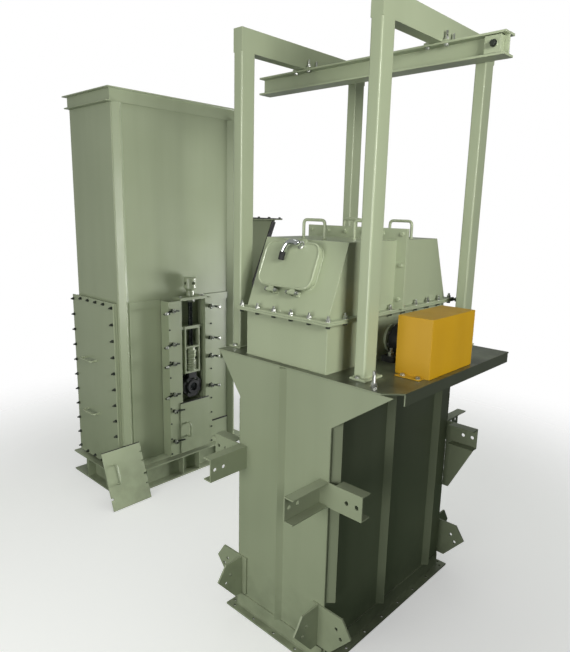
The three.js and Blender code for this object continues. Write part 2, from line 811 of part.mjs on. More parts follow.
// Channel ring round the top of the casing.
function topRing() {
  const z0 = BOOT_TOP - RING;
  const plan = (d) => [-BOOT_X - d, BOOT_X + d, -CASING_Y - d, CASING_Y + d];
  const inner = box(
    -BOOT_X + SHEET,
    BOOT_X - SHEET,
    -CASING_Y + SHEET,
    CASING_Y - SHEET,
    z0 - 1,
    BOOT_TOP + 1,
  );
  const [x0, x1, y0, y1] = plan(8);
  const body = join(
    box(x0, x1, y0, y1, z0, BOOT_TOP),
    box(...plan(30), BOOT_TOP - 7, BOOT_TOP),
    box(x0, x1, -CASING_Y - 30, CASING_Y + 30, z0, z0 + 7),
  );
  return cut(body, inner, flangeHoles(BOOT_X + 19, CASING_Y + 19, BOOT_TOP - 8, BOOT_TOP + 1, 6));
}
part(boot, "boot_top_ring", topRing(), PAINT);

// Base frame of channels, toes outward, with web stiffeners.
function baseFrame() {
  const d = 62;
  const outer = [-BOOT_X - d, BOOT_X + d, -CASING_Y - d, CASING_Y + d];
  const inner = box(
    -BOOT_X + 10,
    BOOT_X - 10,
    -CASING_Y + 10,
    CASING_Y - 10,
    -1,
    BOOT_BASE + 1,
  );
  const web = box(-BOOT_X - 6, BOOT_X + 6, -CASING_Y - 6, CASING_Y + 6, 0, BOOT_BASE);
  const flanges = [
    box(...outer, 0, 9),
    box(...outer, BOOT_BASE - 9, BOOT_BASE),
  ];
  const stiff = [-330, -45, 92, 330].flatMap((y) =>
    [-1, 1].map((s) => {
      const [a, b] = s < 0 ? [-BOOT_X - d + 4, -BOOT_X] : [BOOT_X, BOOT_X + d - 4];
      return box(a, b, y - 4, y + 4, 4, BOOT_BASE - 4);
    }),
  );
  const ends = [-120, 120].flatMap((x) =>
    [-1, 1].map((s) => {
      const [a, b] =
        s < 0 ? [-CASING_Y - d + 4, -CASING_Y] : [CASING_Y, CASING_Y + d - 4];
      return box(x - 4, x + 4, a, b, 4, BOOT_BASE - 4);
    }),
  );
  return cut(join(web, flanges, stiff, ends), inner);
}
part(boot, "boot_base_frame", baseFrame(), PAINT);

// Bolted cover over the opening in the front wall, with two level grips.
function frontCover() {
  const y = -CASING_Y - GAP;
  const frameZ = [BOOT_FOOT + 20, COVER_TOP];
  const body = join(
    box(-BOOT_X - 14, BOOT_X - 14, y - 22, y, ...frameZ),
    box(-BOOT_X - 26, BOOT_X - 6, y - 30, y - 21, frameZ[0] - 6, frameZ[1] + 4),
  );
  const hollow = box(-165, 165, y - 20, y + 1, 262, 1138);
  const out = V(0, -1, 0);
  const grips = [830, 480].map((z) =>
    handle(V(-128, y - 28, z), V(8, y - 28, z), out, 44, 6),
  );
  return join(cut(body, hollow), grips);
}
part(boot, "boot_front_cover", frontCover(), PAINT);

// ---------- boot section: screw take-up ----------
// Frame that stands out from the side wall: cheeks, front strips, bridge and sill.
function takeupFrame(side) {
  const { y0, y1, z0, z1, door } = TAKEUP;
  const a = BOOT_X + 8 + GAP;
  const f = BOOT_X + TAKEUP_DEPTH;
  const left = TAKEUP_Y - TAKEUP_HALF;
  const right = TAKEUP_Y + TAKEUP_HALF;
  const cheeks = [
    box(a, f, left - 8, left, z0, z1),
    box(a, f, right, right + 8, z0, z1),
    box(a, f, y0, y0 + 6, z0, z1),
    box(a, f, y1 - 6, y1, z0, z1),
  ];
  const strips = [
    box(f - 8, f, y0, left, z0, z1),
    box(f - 8, f, right, y1, z0, z1),
  ];
  const bridge = box(a, f + 6, left - 12, right + 12, z1 - 2, z1 + 16);
  const sill = box(a, f, left - 2, right + 2, z0, z0 + 10);
  const shelf = box(a, f, left - 2, right + 2, door - 24, door - 16);
  const guides = [
    box(SCREW_X - 7, SCREW_X + 7, left - 1, left + 9, door - 16, z1),
    box(SCREW_X - 7, SCREW_X + 7, right - 9, right + 1, door - 16, z1),
  ];
  const screwHole = rod("z", 17, z1 - 10, z1 + 30, SCREW_X, TAKEUP_Y, 16);
  const body = cut(join(cheeks, strips, bridge, sill, shelf, guides), screwHole);
  return side < 0 ? body.mirror([1, 0, 0]) : body;
}

// Bearing yoke: head bar, two legs on the guides and two cross bars for the spring.
const YOKE = { half: 61, bar: 12, leg: 11, depth: 40, middle: 889, low: 720 };
function takeupYoke(side) {
  const { half, bar, leg, depth, middle, low } = YOKE;
  const x = [SCREW_X - depth / 2, SCREW_X + depth / 2];
  const y = [TAKEUP_Y - half, TAKEUP_Y + half];
  const guide = TAKEUP_HALF - 9 - GAP * 3;
  const body = join(
    box(...x, ...y, YOKE_TOP - bar - 8, YOKE_TOP),
    box(...x, y[0], y[0] + leg, low, YOKE_TOP),
    box(...x, y[1] - leg, y[1], low, YOKE_TOP),
    box(...x, ...y, middle, middle + bar),
    box(...x, ...y, low, low + bar),
    rod("z", 27, low + bar - 2, middle + 2, SCREW_X, TAKEUP_Y, 12),
    box(x[0] + 4, x[1] - 4, TAKEUP_Y - guide, TAKEUP_Y + guide, YOKE_TOP - 18, YOKE_TOP - 2),
  );
  const clear = rod("z", 16, SCREW_END - TAKEUP_TRAVEL - 6, YOKE_TOP + 1, SCREW_X, TAKEUP_Y, 16);
  const out = cut(body, clear);
  return side < 0 ? out.mirror([1, 0, 0]) : out;
}

// Screw with its capstan head above the bridge.
function takeupScrew(side) {
  const r = 13.5;
  const neck = 26;
  const head = 40;
  const z = TAKEUP.z1 + 16 + GAP;
  const top = z + 124;
  const hole = z + 88;
  const profile = [
    [0, SCREW_END],
    [r, SCREW_END],
    [r, z],
    [neck, z],
    [neck, z + 38],
    [head, z + 54],
    [head, top - 4],
    [head - 4, top],
    [0, top],
  ].map(([u, v]) => new THREE.Vector2(u, v));
  const g = new THREE.LatheGeometry(profile, 14);
  g.rotateX(Math.PI / 2);
  g.translate(SCREW_X, TAKEUP_Y, 0);
  const holes = [
    rod("x", 11, SCREW_X - head - 5, SCREW_X + head + 5, TAKEUP_Y, hole, 12),
    rod("y", 11, TAKEUP_Y - head - 5, TAKEUP_Y + head + 5, SCREW_X, hole, 12),
  ];
  const out = cut(solid(g), holes);
  return side < 0 ? out.mirror([1, 0, 0]) : out;
}

// Bearing housing, hung from the yoke and bored for the boot shaft.
function bootBearing(side) {
  const y = TAKEUP_Y;
  const z = BOOT_SHAFT_Z;
  const octagon = Array.from({ length: 8 }, (_, i) => {
    const t = ((i + 0.5) * Math.PI) / 4;
    return [y + 76 * Math.cos(t), z + 76 * Math.sin(t)];
  });
  const body = join(
    plate("yz", octagon, SCREW_X - 26, SCREW_X + 16),
    rod("x", 46, SCREW_X - 34, SCREW_X + 28, y, z, 16),
    box(SCREW_X - 18, SCREW_X + 18, y - 30, y + 30, z + 60, YOKE.low - GAP),
  );
  const bore = rod("x", boreRadius(BOOT_SHAFT_R, 16), SCREW_X - 60, SCREW_X + 60, y, z, 16);
  const out = cut(body, bore);
  return side < 0 ? out.mirror([1, 0, 0]) : out;
}

for (const [name, side] of [
  ["right", 1],
  ["left", -1],
]) {
  part(boot, `takeup_frame_${name}`, takeupFrame(side), PAINT);
  part(boot, `takeup_yoke_${name}`, takeupYoke(side), PAINT);
  part(boot, `takeup_screw_${name}`, takeupScrew(side), PAINT);
  part(boot, `boot_bearing_${name}`, bootBearing(side), IRON);
}

part(
  boot,
  "boot_shaft",
  rod("x", BOOT_SHAFT_R, -SCREW_X - 22, SCREW_X + 22, TAKEUP_Y, BOOT_SHAFT_Z, 16),
  STEEL,
);
part(
  boot,
  "boot_pulley",
  drum(BOOT_PULLEY_R, -165, 165, TAKEUP_Y, BOOT_SHAFT_Z, BOOT_SHAFT_R, 28),
  STEEL,
);

// ---------- boot section: doors and clamps ----------
const FRONT = BOOT_X + TAKEUP_DEPTH + GAP; // back of the doors
const DOOR = { y0: TAKEUP_Y - 118, y1: 148, thick: 6 };
function cleaningDoor() {
  const z1 = TAKEUP.door;
  const leaf = box(FRONT, FRONT + DOOR.thick, DOOR.y0, DOOR.y1, TAKEUP.z0 + 2, z1);
  const x = FRONT + DOOR.thick - 1;
  const grip = handle(V(x, -36, 300), V(x, -36, 392), V(1, 0, 0), 40, 6);
  return join(leaf, grip);
}
part(boot, "cleaning_door", cleaningDoor(), PAINT);

// Clamp: stud with nut on a cranked bar, which turns on the stud.
const CLAMP = { stud: 8, rise: 20, bar: 7 };
function swingClamp(y, z, toDoor, long) {
  const x0 = FRONT + DOOR.thick + GAP;
  const grip = [
    [-14, -11],
    [-long, -26],
    [-long - 8, -18],
    [-long + 14, -8],
  ];
  const outline = [
    [-12, 0],
    [12, 0],
    [toDoor, -6],
    [toDoor, -15],
    [14, -11],
    ...(long > 30 ? grip : [[-14, -9]]),
  ];
  const bar = plate(
    "yz",
    outline.map(([u, v]) => [u, v + 6]),
    x0 + 4,
    x0 + 4 + CLAMP.bar,
  );
  const shape = join(
    bar,
    rod("x", CLAMP.stud + 4, x0 - DOOR.thick, x0 + 5, 0, 0, 8),
    rod("x", CLAMP.stud + 5, x0 + 10, x0 + 20, 0, 0, 6),
    rod("x", CLAMP.stud, x0 + 19, x0 + 30, 0, 0, 8),
  );
  return shape.translate([0, y, z]);
}
const CLAMP_Z = [1157, 942, 815, 609];
const CLAMP_LEFT_Y = TAKEUP_Y - TAKEUP_HALF - 72;
const DOOR_CLAMP_Z = [494, 285];
const CLAMP_RIGHT_Y = TAKEUP.y1 - 18;
CLAMP_Z.forEach((z, i) => {
  part(boot, `clamp_left_${i + 1}`, swingClamp(CLAMP_LEFT_Y, z, 44, 68), ZINC);
  const right = swingClamp(-CLAMP_RIGHT_Y, z, 22, 62).mirror([0, 1, 0]);
  part(boot, `clamp_right_${i + 1}`, right, ZINC);
});
DOOR_CLAMP_Z.forEach((z, i) => {
  const clamp = swingClamp(CLAMP_LEFT_Y, z, 76, 14);
  part(boot, `clamp_door_${i + 1}`, clamp, ZINC);
});

// Loose cleaning door, leaning on the foot of the casing at the front corner.
const LOOSE = { y0: -632, w: 262, h: 352, t: 6, lean: 0.355, x: 397 };
function looseDoor() {
  const { w, h, t } = LOOSE;
  const outline = [
    [0, 0],
    [w, 0],
    [w, h],
    [0, h],
  ];
  const notch = [
    [w - 14, h - 62, 14, 9],
    [w - 14, h - 118, 14, 9],
    [w - 14, h - 200, 14, 9],
    [w - 14, h - 262, 14, 9],
    [0, 66, 14, 12],
  ].map(([u, v, a, b]) => box(-1, t + 1, u - 2, u + a + 2, v, v + b));
  const leaf = cut(plate("yz", outline, 0, t), notch);
  const grip = handle(V(t - 1, 62, 150), V(t - 1, 62, 266), V(1, 0, 0), 38, 6);
  const lean = new THREE.Matrix4().makeRotationY(-LOOSE.lean);
  lean.setPosition(LOOSE.x, LOOSE.y0, 0);
  return join(leaf, grip).transform(lean.elements);
}
part(boot, "loose_cleaning_door", looseDoor(), PAINT);

// ---------- boot section: inlet chute on the back wall ----------
function inletChute() {
  const { half, out, top, foot } = CHUTE;
  const y0 = CASING_Y + GAP;
  const t = 6;
  const profile = (d) => [
    [y0 - (d ? 2 : 0), foot + (d ? 30 : 0)],
    [out - 30 - d * 1.2, top - 26],
    [out - 30 - d * 1.2, top + (d ? 2 : 0)],
    [y0 - (d ? 2 : 0), top + (d ? 2 : 0)],
  ];
  const shell = plate("yz", profile(0), -half, half);
  const hollow = plate("yz", profile(t), -half + t, half - t);
  const rim = box(-half - 36, half + 36, y0, out + 16, top - 8, top);
  const wallRim = box(-half - 30, half + 30, y0, y0 + 6, foot - 30, top);
  return cut(join(shell, rim, wallRim), hollow);
}
part(boot, "inlet_chute", inletChute(), PAINT);

// ---------- origin: middle of the footprint box, on the floor ----------
const bounds = new THREE.Box3().setFromObject(machine);
const middle = bounds.getCenter(new THREE.Vector3());
machine.position.set(-middle.x, -middle.y, -bounds.min.z);

export default machine;
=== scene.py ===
"""Looks for the two-section bucket elevator: paint, bolts, threads, springs and small fittings."""
import json
import math

import bmesh
import bpy
from mathutils import Matrix, Vector


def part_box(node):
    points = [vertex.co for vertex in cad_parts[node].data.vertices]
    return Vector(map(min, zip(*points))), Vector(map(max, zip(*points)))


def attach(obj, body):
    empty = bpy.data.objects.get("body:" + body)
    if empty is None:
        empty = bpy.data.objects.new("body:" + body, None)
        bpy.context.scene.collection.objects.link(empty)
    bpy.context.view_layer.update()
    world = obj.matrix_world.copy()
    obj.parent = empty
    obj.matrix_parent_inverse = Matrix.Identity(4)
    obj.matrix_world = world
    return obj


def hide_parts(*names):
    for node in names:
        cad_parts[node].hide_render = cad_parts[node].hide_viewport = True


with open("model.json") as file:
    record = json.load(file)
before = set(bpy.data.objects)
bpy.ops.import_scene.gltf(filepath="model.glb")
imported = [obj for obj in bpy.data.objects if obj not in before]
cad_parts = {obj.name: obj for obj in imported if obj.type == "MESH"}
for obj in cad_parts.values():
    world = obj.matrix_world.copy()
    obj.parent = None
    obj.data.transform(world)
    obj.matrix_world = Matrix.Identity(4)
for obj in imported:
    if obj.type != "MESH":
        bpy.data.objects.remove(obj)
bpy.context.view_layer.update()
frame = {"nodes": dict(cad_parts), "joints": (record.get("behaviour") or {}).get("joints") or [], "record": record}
scene = bpy.context.scene

MM = 0.001
X = Vector((1, 0, 0))
Y = Vector((0, 1, 0))
Z = Vector((0, 0, 1))


def low(node):
    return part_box(node)[0]


def high(node):
    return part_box(node)[1]


def centre(node):
    return (low(node) + high(node)) / 2


def on_floor(point):
    return Vector((point.x, point.y, 0))


HEAD = on_floor(centre("head_base_flange"))
BOOT = on_floor(centre("boot_base_frame"))
HEAD_HALF = Vector((0.25, 0.46, 0))
BOOT_HALF = Vector((0.24, 0.46, 0))
HOOD_FOOT = 1.401
HOOD_ROOF = 1.682
HOOD_INSET = 0.110  # how far the front slope leans back from foot to roof
HATCH_X = (-0.200, 0.090)  # the door's sides, from the head's middle
HATCH_V = (0.092, 0.282)  # the door's lower and upper edge, up the slope
HINGE_X = (-0.112, 0.002)
LATCH_X, LATCH_V = -0.012, 0.268
COVER_FACE = BOOT.y - 0.4903
RIM = 30 * MM  # flange width round the pulley box and the hood
BASE_PLATE = 8 * MM  # under each portal post
POST = Vector((50, 75, 0)) * MM
GRIP_BAR = 6.25 * MM


# ---------- camera ----------
def make_camera():
    eye = HEAD + Vector((1.4605, -2.0094, 1.8))
    yaw, pitch, roll = 0.7543, -0.2054, 0.0222
    ahead = Vector((-math.sin(yaw) * math.cos(pitch), math.cos(yaw) * math.cos(pitch), math.sin(pitch)))
    level = Vector((math.cos(yaw), math.sin(yaw), 0))
    above = level.cross(ahead)
    right = math.cos(roll) * level + math.sin(roll) * above
    up = math.cos(roll) * above - math.sin(roll) * level
    data = bpy.data.cameras.new("camera")
    data.sensor_width = 36
    data.lens = 31.14
    data.clip_start = 0.05
    camera = bpy.data.objects.new("camera", data)
    scene.collection.objects.link(camera)
    turn = Matrix((right, up, -ahead)).transposed()
    camera.matrix_world = Matrix.Translation(eye) @ turn.to_4x4()
    scene.camera = camera


make_camera()


# ---------- procedural materials ----------
class Look:
    """A Principled material built from nodes in the object's own coordinates."""

    def __init__(self, name, metallic=0.0, coat=0.0, coat_roughness=0.1, specular=0.5):
        self.material = bpy.data.materials.new(name)
        self.material.use_nodes = True
        self.tree = self.material.node_tree
        self.shader = self.tree.nodes["Principled BSDF"]
        self.shader.inputs["Metallic"].default_value = metallic
        self.shader.inputs["Coat Weight"].default_value = coat
        self.shader.inputs["Coat Roughness"].default_value = coat_roughness
        self.shader.inputs["Specular IOR Level"].default_value = specular
        self.place = self.tree.nodes.new("ShaderNodeTexCoord").outputs["Object"]

    def link(self, output, socket):
        self.tree.links.new(output, socket)

    def noise(self, scale, detail=3.0, stretch=(1, 1, 1)):
        mapping = self.tree.nodes.new("ShaderNodeMapping")
        mapping.inputs["Scale"].default_value = stretch
        self.link(self.place, mapping.inputs["Vector"])
        node = self.tree.nodes.new("ShaderNodeTexNoise")
        node.inputs["Scale"].default_value = scale
        node.inputs["Detail"].default_value = detail
        self.link(mapping.outputs["Vector"], node.inputs["Vector"])
        return node.outputs["Fac"]

    def ramp(self, value, low_at, high_at, low_value=0.0, high_value=1.0):
        node = self.tree.nodes.new("ShaderNodeMapRange")
        node.inputs["From Min"].default_value = low_at
        node.inputs["From Max"].default_value = high_at
        node.inputs["To Min"].default_value = low_value
        node.inputs["To Max"].default_value = high_value
        self.link(value, node.inputs["Value"])
        return node.outputs["Result"]

    def times(self, a, b):
        node = self.tree.nodes.new("ShaderNodeMath")
        node.operation = "MULTIPLY"
        self.link(a, node.inputs[0])
        self.link(b, node.inputs[1])
        return node.outputs["Value"]

    def mix(self, share, a, b):
        """Colour mix; a and b are colours or sockets, and share is a socket."""
        node = self.tree.nodes.new("ShaderNodeMix")
        node.data_type = "RGBA"
        self.link(share, node.inputs["Factor"])
        for colour, socket in ((a, node.inputs["A"]), (b, node.inputs["B"])):
            if isinstance(colour, tuple):
                socket.default_value = (*colour, 1)
            else:
                self.link(colour, socket)
        return node.outputs["Result"]

    def facing(self, part):
        """One component of the surface normal: 0 for X, 1 for Y, 2 for Z."""
        geometry = self.tree.nodes.new("ShaderNodeNewGeometry")
        split = self.tree.nodes.new("ShaderNodeSeparateXYZ")
        self.link(geometry.outputs["Normal"], split.inputs["Vector"])
        return split.outputs[part]

    def height(self):
        split = self.tree.nodes.new("ShaderNodeSeparateXYZ")
        self.link(self.place, split.inputs["Vector"])
        return split.outputs[2]

    def finish(self, colour, roughness, *bumps):
        """bumps are (height socket, strength, distance in metres)."""
        self.link(colour, self.shader.inputs["Base Color"])
        self.link(roughness, self.shader.inputs["Roughness"])
        normal = None
        for value, strength, distance in bumps:
            node = self.tree.nodes.new("ShaderNodeBump")
            node.inputs["Strength"].default_value = strength
            node.inputs["Distance"].default_value = distance
            self.link(value, node.inputs["Height"])
            if normal is not None:
                self.link(normal, node.inputs["Normal"])
            normal = node.outputs["Normal"]
        if normal is not None:
            self.link(normal, self.shader.inputs["Normal"])
        return self.material


def painted(name, light, dark, dust_and_shade, rough=0.34, coat=0.25, dust_and_shade_share=0.4):
    """Sprayed machine paint: orange peel, faint streaks, a tint on top faces and scuffed patches; the top tint is
    dust on most paints and painted shade on the deck, where it is near black.
    """
    look = Look(name, coat=coat, coat_roughness=0.12)
    cloud = look.ramp(look.noise(1.7, 4), 0.3, 0.7)
    streak = look.ramp(look.noise(5.0, 5, (1.6, 1.6, 0.12)), 0.42, 0.72, 0, 0.35)
    base = look.mix(cloud, dark, light)
    base = look.mix(streak, base, tuple(0.86 * c for c in dark))
    # Top faces take the fourth colour argument in noisy patches: dust on most paints, painted shade on the deck,
    # where that colour is near black.
    top_dust_and_shade_mask = look.times(look.ramp(look.facing(2), 0.5, 0.95, 0, dust_and_shade_share), look.noise(9, 6))
    base = look.mix(top_dust_and_shade_mask, base, dust_and_shade)
    low_dirt = look.times(look.ramp(look.height(), 0.0, 0.35, 0.5, 0), look.ramp(look.noise(14, 5), 0.4, 0.7))
    base = look.mix(low_dirt, base, tuple(0.55 * c for c in dark))
    gloss = look.ramp(look.noise(6, 5), 0.3, 0.75, rough - 0.06, rough + 0.12)
    peel = look.noise(420, 2)
    wave = look.noise(3.2, 2)
    return look.finish(base, gloss, (wave, 0.25, 0.0025), (peel, 0.05, 0.0004))


def metal(name, light, dark, rough, metallic=1.0, grain=(1, 1, 1), scale=60, strength=0.08):
    """Bare or plated metal with a fine grain and small stains."""
    look = Look(name, metallic=metallic)
    stain = look.ramp(look.noise(26, 5), 0.35, 0.7)
    fine = look.noise(scale, 4, grain)
    base = look.mix(stain, light, dark)
    gloss = look.ramp(fine, 0.3, 0.7, rough * 0.8, rough * 1.3)
    return look.finish(base, gloss, (fine, strength, 0.0003))


PAINT = painted("sage_paint", (0.345, 0.390, 0.262), (0.312, 0.356, 0.234), (0.33, 0.34, 0.25))
# Deck paint: a near-black tint over nearly all of its top faces, painted shade on the deck top.
DECK_PAINT = painted(
    "deck_paint", (0.345, 0.390, 0.262), (0.312, 0.356, 0.234), (0.07, 0.075, 0.05), dust_and_shade_share=1.5
)
YELLOW = painted("safety_yellow", (0.46, 0.262, 0.004), (0.415, 0.228, 0.003), (0.12, 0.10, 0.04), 0.5, 0.0)
ZINC = metal("zinc_plate", (0.66, 0.67, 0.64), (0.42, 0.43, 0.4), 0.3)
DARK_BOLT = metal("dark_bolt", (0.07, 0.08, 0.065), (0.03, 0.035, 0.03), 0.42, 0.75)
CHROME = metal("chrome_plate", (0.86, 0.87, 0.88), (0.74, 0.75, 0.77), 0.07, strength=0.02)
STEEL = metal("turned_steel", (0.5, 0.5, 0.49), (0.32, 0.32, 0.31), 0.28, grain=(40, 1, 1), scale=30)
IRON = metal("cast_iron", (0.026, 0.027, 0.028), (0.013, 0.013, 0.014), 0.5, 0.35, scale=260, strength=0.35)
THREAD = metal("oiled_thread", (0.06, 0.065, 0.07), (0.02, 0.02, 0.022), 0.25, 0.9, scale=160)
# Black rubber for seals and the lever's tip; the same black also makes the chute's slope bands, its rim edge and
# the cleaning door's top strip, where it stands for painted shade.
BLACK_RUBBER_AND_SHADE = metal("black_rubber_and_painted_shade", (0.02, 0.02, 0.019), (0.01, 0.01, 0.01), 0.7, 0.0, scale=320, strength=0.25)

LOOK_OF_SLOT = {
    "green_paint": PAINT,
    "yellow_paint": YELLOW,
    "chrome": CHROME,
    "bright_steel": STEEL,
    "iron": IRON,
    "zinc": DARK_BOLT,
}


# ---------- CAD nodes: paint and rounded edges ----------
def smooth_group():
    """Node group that welds the faces of a mesh and shades them smooth."""
    group = bpy.data.node_groups.new("weld_and_smooth", "GeometryNodeTree")
    group.interface.new_socket("Geometry", in_out="INPUT", socket_type="NodeSocketGeometry")
    group.interface.new_socket("Geometry", in_out="OUTPUT", socket_type="NodeSocketGeometry")
    start = group.nodes.new("NodeGroupInput")
    weld = group.nodes.new("GeometryNodeMergeByDistance")
    weld.inputs["Distance"].default_value = 0.00002
    smooth = group.nodes.new("GeometryNodeSetShadeSmooth")
    smooth.inputs["Shade Smooth"].default_value = True
    end = group.nodes.new("NodeGroupOutput")
    group.links.new(start.outputs[0], weld.inputs["Geometry"])
    group.links.new(weld.outputs["Geometry"], smooth.inputs["Geometry"])
    group.links.new(smooth.outputs["Geometry"], end.inputs[0])
    return group


EDGE_WIDTH = {"hood_front": 0.0022, "hood_rear": 0.0022, "hatch_door": 0.002}


def dress_cad_nodes():
    group = smooth_group()
    slots = {s["node"]: s["material_slot"] for s in frame["record"]["subparts"]}
    for name, obj in frame["nodes"].items():
        obj.data.materials.clear()
        obj.data.materials.append(LOOK_OF_SLOT[slots[name]])
        obj.modifiers.new("weld", "NODES").node_group = group
        bevel = obj.modifiers.new("edges", "BEVEL")
        bevel.width = EDGE_WIDTH.get(name, 0.0016)
        bevel.segments = 2
        bevel.limit_method = "ANGLE"
        bevel.angle_limit = math.radians(33)
        normals = obj.modifiers.new("normals", "WEIGHTED_NORMAL")
        normals.weight = 60
    frame["nodes"]["boot_shaft"].data.materials[0] = THREAD
    # The deck takes the paint whose top faces carry painted shade.
    frame["nodes"]["platform_deck"].data.materials[0] = DECK_PAINT


dress_cad_nodes()


# ---------- shape helpers ----------
def turned_to(axis):
    return Vector(axis).to_track_quat("Z", "Y").to_matrix()


def lathe(bm, profile, foot, axis, sides):
    """Solid of revolution; profile is (radius, height) pairs from the foot up."""
    turn = turned_to(axis)
    rings = []
    for radius, rise in profile:
        count = sides if radius > 1e-7 else 1
        ring = []
        for i in range(count):
            t = 2 * math.pi * i / sides
            corner = Vector((radius * math.cos(t), radius * math.sin(t), rise))
            ring.append(bm.verts.new(foot + turn @ corner))
        rings.append(ring)
    for a, b in zip(rings, rings[1:]):
        for i in range(sides):
            j = (i + 1) % sides
            corners = [a[i % len(a)], a[j % len(a)], b[j % len(b)], b[i % len(b)]]
            face = list(dict.fromkeys(corners))
            if len(face) > 2:
                bm.faces.new(face)


def sweep(bm, points, radii, sides=12):
    """Round bar through points; radii is one radius or one for each point."""
    if isinstance(radii, float):
        radii = [radii] * len(points)
    across = None
    rings = []
    for i, point in enumerate(points):
        ahead = points[min(i + 1, len(points) - 1)] - points[max(i - 1, 0)]
        ahead.normalize()
        if across is None:
            across = ahead.orthogonal().normalized()
        across = (across - across.dot(ahead) * ahead).normalized()
        other = ahead.cross(across)
        ring = []
        for k in range(sides):
            t = 2 * math.pi * k / sides
            offset = radii[i] * (math.cos(t) * across + math.sin(t) * other)
            ring.append(bm.verts.new(point + offset))
        rings.append(ring)
    for a, b in zip(rings, rings[1:]):
        for k in range(sides):
            m = (k + 1) % sides
            bm.faces.new((a[k], a[m], b[m], b[k]))
    bm.faces.new(list(reversed(rings[0])))
    bm.faces.new(rings[-1])


def slab(bm, a, b, edge=0.001):
    """Plate between two corners, with rounded edges."""
    made = bmesh.ops.create_cube(bm, size=1.0)["verts"]
    size = Vector(b) - Vector(a)
    for v in made:
        v.co = Vector(a) + Vector(((v.co.x + 0.5) * size.x, (v.co.y + 0.5) * size.y, (v.co.z + 0.5) * size.z))
    edges = list({e for v in made for e in v.link_edges})
    bmesh.ops.bevel(bm, geom=edges, offset=edge, segments=2, affect="EDGES", profile=0.5)


def bolt_head(bm, foot, axis, size=0.012):
    """Washer and chamfered hexagon head of a bolt of this thread size."""
    axis = Vector(axis)
    washer = 0.18 * size
    lathe(bm, [(0, 0), (size, 0), (size, washer * 0.7), (size * 0.96, washer), (0, washer)], foot, axis, 16)
    corner, rise = 0.88 * size, 0.65 * size
    head = [(0, 0), (corner, 0), (corner, rise * 0.8), (corner * 0.84, rise), (0, rise)]
    lathe(bm, head, foot + washer * axis, axis, 6)


def stud(bm, foot, axis, size=0.012, out=0.012):
    """Washer, nut and the threaded end that stands out of it."""
    axis = Vector(axis)
    washer, nut, pitch = 0.18 * size, 0.85 * size, 0.17 * size
    lathe(bm, [(0, 0), (size, 0), (size, washer * 0.7), (size * 0.96, washer), (0, washer)], foot, axis, 16)
    corner = 0.88 * size
    profile = [(0, 0), (corner * 0.86, 0), (corner, nut * 0.12)]
    profile += [(corner, nut * 0.88), (corner * 0.86, nut), (0, nut)]
    lathe(bm, profile, foot + washer * axis, axis, 6)
    turns = max(2, round(out / pitch))
    ridge = [(0, 0)]
    for i in range(turns):
        ridge += [(size * 0.46, i * out / turns), (size * 0.5, (i + 0.5) * out / turns)]
    ridge += [(size * 0.42, out), (0, out)]
    lathe(bm, ridge, foot + (washer + nut * 0.98) * axis, axis, 12)


def thread(bm, foot, axis, radius, length, pitch, depth, sides=16):
    """Helical thread as one skin around a shank of this radius."""
    turn = turned_to(axis)
    steps = 4
    rows = int(length / pitch * steps)
    grid = []
    for r in range(rows + 1):
        ring = []
        for k in range(sides):
            phase = (r / steps + k / sides) % 1.0
            crest = 1 - abs(2 * phase - 1)
            t = 2 * math.pi * k / sides
            reach = radius + depth * crest
            corner = Vector((reach * math.cos(t), reach * math.sin(t), r * pitch / steps))
            ring.append(bm.verts.new(foot + turn @ corner))
        grid.append(ring)
    for a, b in zip(grid, grid[1:]):
        for k in range(sides):
            m = (k + 1) % sides
            bm.faces.new((a[k], a[m], b[m], b[k]))


def bead(bm, a, b, size=0.003):
    """Weld bead between two points, with its ripples."""
    a, b = Vector(a), Vector(b)
    count = max(3, int((b - a).length / 0.006))
    points = [a.lerp(b, i / count) for i in range(count + 1)]
    radii = [size * (0.86 + 0.14 * math.sin(2.4 * i) + 0.1 * math.sin(0.7 * i)) for i in range(count + 1)]
    sweep(bm, points, radii, 6)


def piece(name, bm, material, body="frame", angle=35):
    mesh = bpy.data.meshes.new(name)
    bmesh.ops.recalc_face_normals(bm, faces=bm.faces)
    bm.to_mesh(mesh)
    bm.free()
    mesh.materials.append(material)
    mesh.shade_smooth()
    mesh.set_sharp_from_angle(angle=math.radians(angle))
    obj = bpy.data.objects.new(name, mesh)
    scene.collection.objects.link(obj)
    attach(obj, body)
    return obj


def spaced(a, b, pitch):
    count = max(1, round(abs(b - a) / pitch))
    return [a + (b - a) * i / count for i in range(count + 1)]


def arc_corner(a, corner, b, reach, steps=5):
    """Points round a bend at corner, on the way from a to b."""
    corner = Vector(corner)
    start = corner + (Vector(a) - corner).normalized() * reach
    end = corner + (Vector(b) - corner).normalized() * reach
    points = []
    for i in range(steps + 1):
        t = i / steps
        points.append((1 - t) ** 2 * start + 2 * t * (1 - t) * corner + t ** 2 * end)
    return points


def grip_path(a, b, out, reach, bar=0.006):
    """Centre line of a D-shaped grip with its feet at a and b."""
    a, b, out = Vector(a), Vector(b), Vector(out)
    top_a, top_b = a + reach * out, b + reach * out
    bend = 3 * bar
    return [a, *arc_corner(a, top_a, top_b, bend), *arc_corner(top_a, top_b, b, bend), b]


# ---------- head section: hood, pulley box and hatch ----------
def hood_flange_bolts():
    """Bright studs with nuts round the hood's foot, and heads below."""
    box_low, box_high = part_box("pulley_box")
    inset = 15 * MM
    top = box_high.z + 8.3 * MM
    under = box_high.z - 8 * MM
    joint = high("hood_front").y
    x0, x1 = box_low.x + inset, box_high.x - inset
    y0, y1 = box_low.y + inset, box_high.y - inset
    spots = [(x, y) for x in spaced(x0, x1, 0.095) for y in (y0, y1)]
    spots += [(x, y) for y in spaced(y0, y1, 0.1)[1:-1] for x in (x0, x1) if abs(y - joint) > 0.024]
    above = bmesh.new()
    below = bmesh.new()
    for x, y in spots:
        stud(above, Vector((x, y, top)), Z, 0.011, 0.010)
        bolt_head(below, Vector((x, y, under)), -Z, 0.011)
    piece("hood_flange_studs", above, ZINC)
    piece("hood_flange_heads", below, DARK_BOLT)


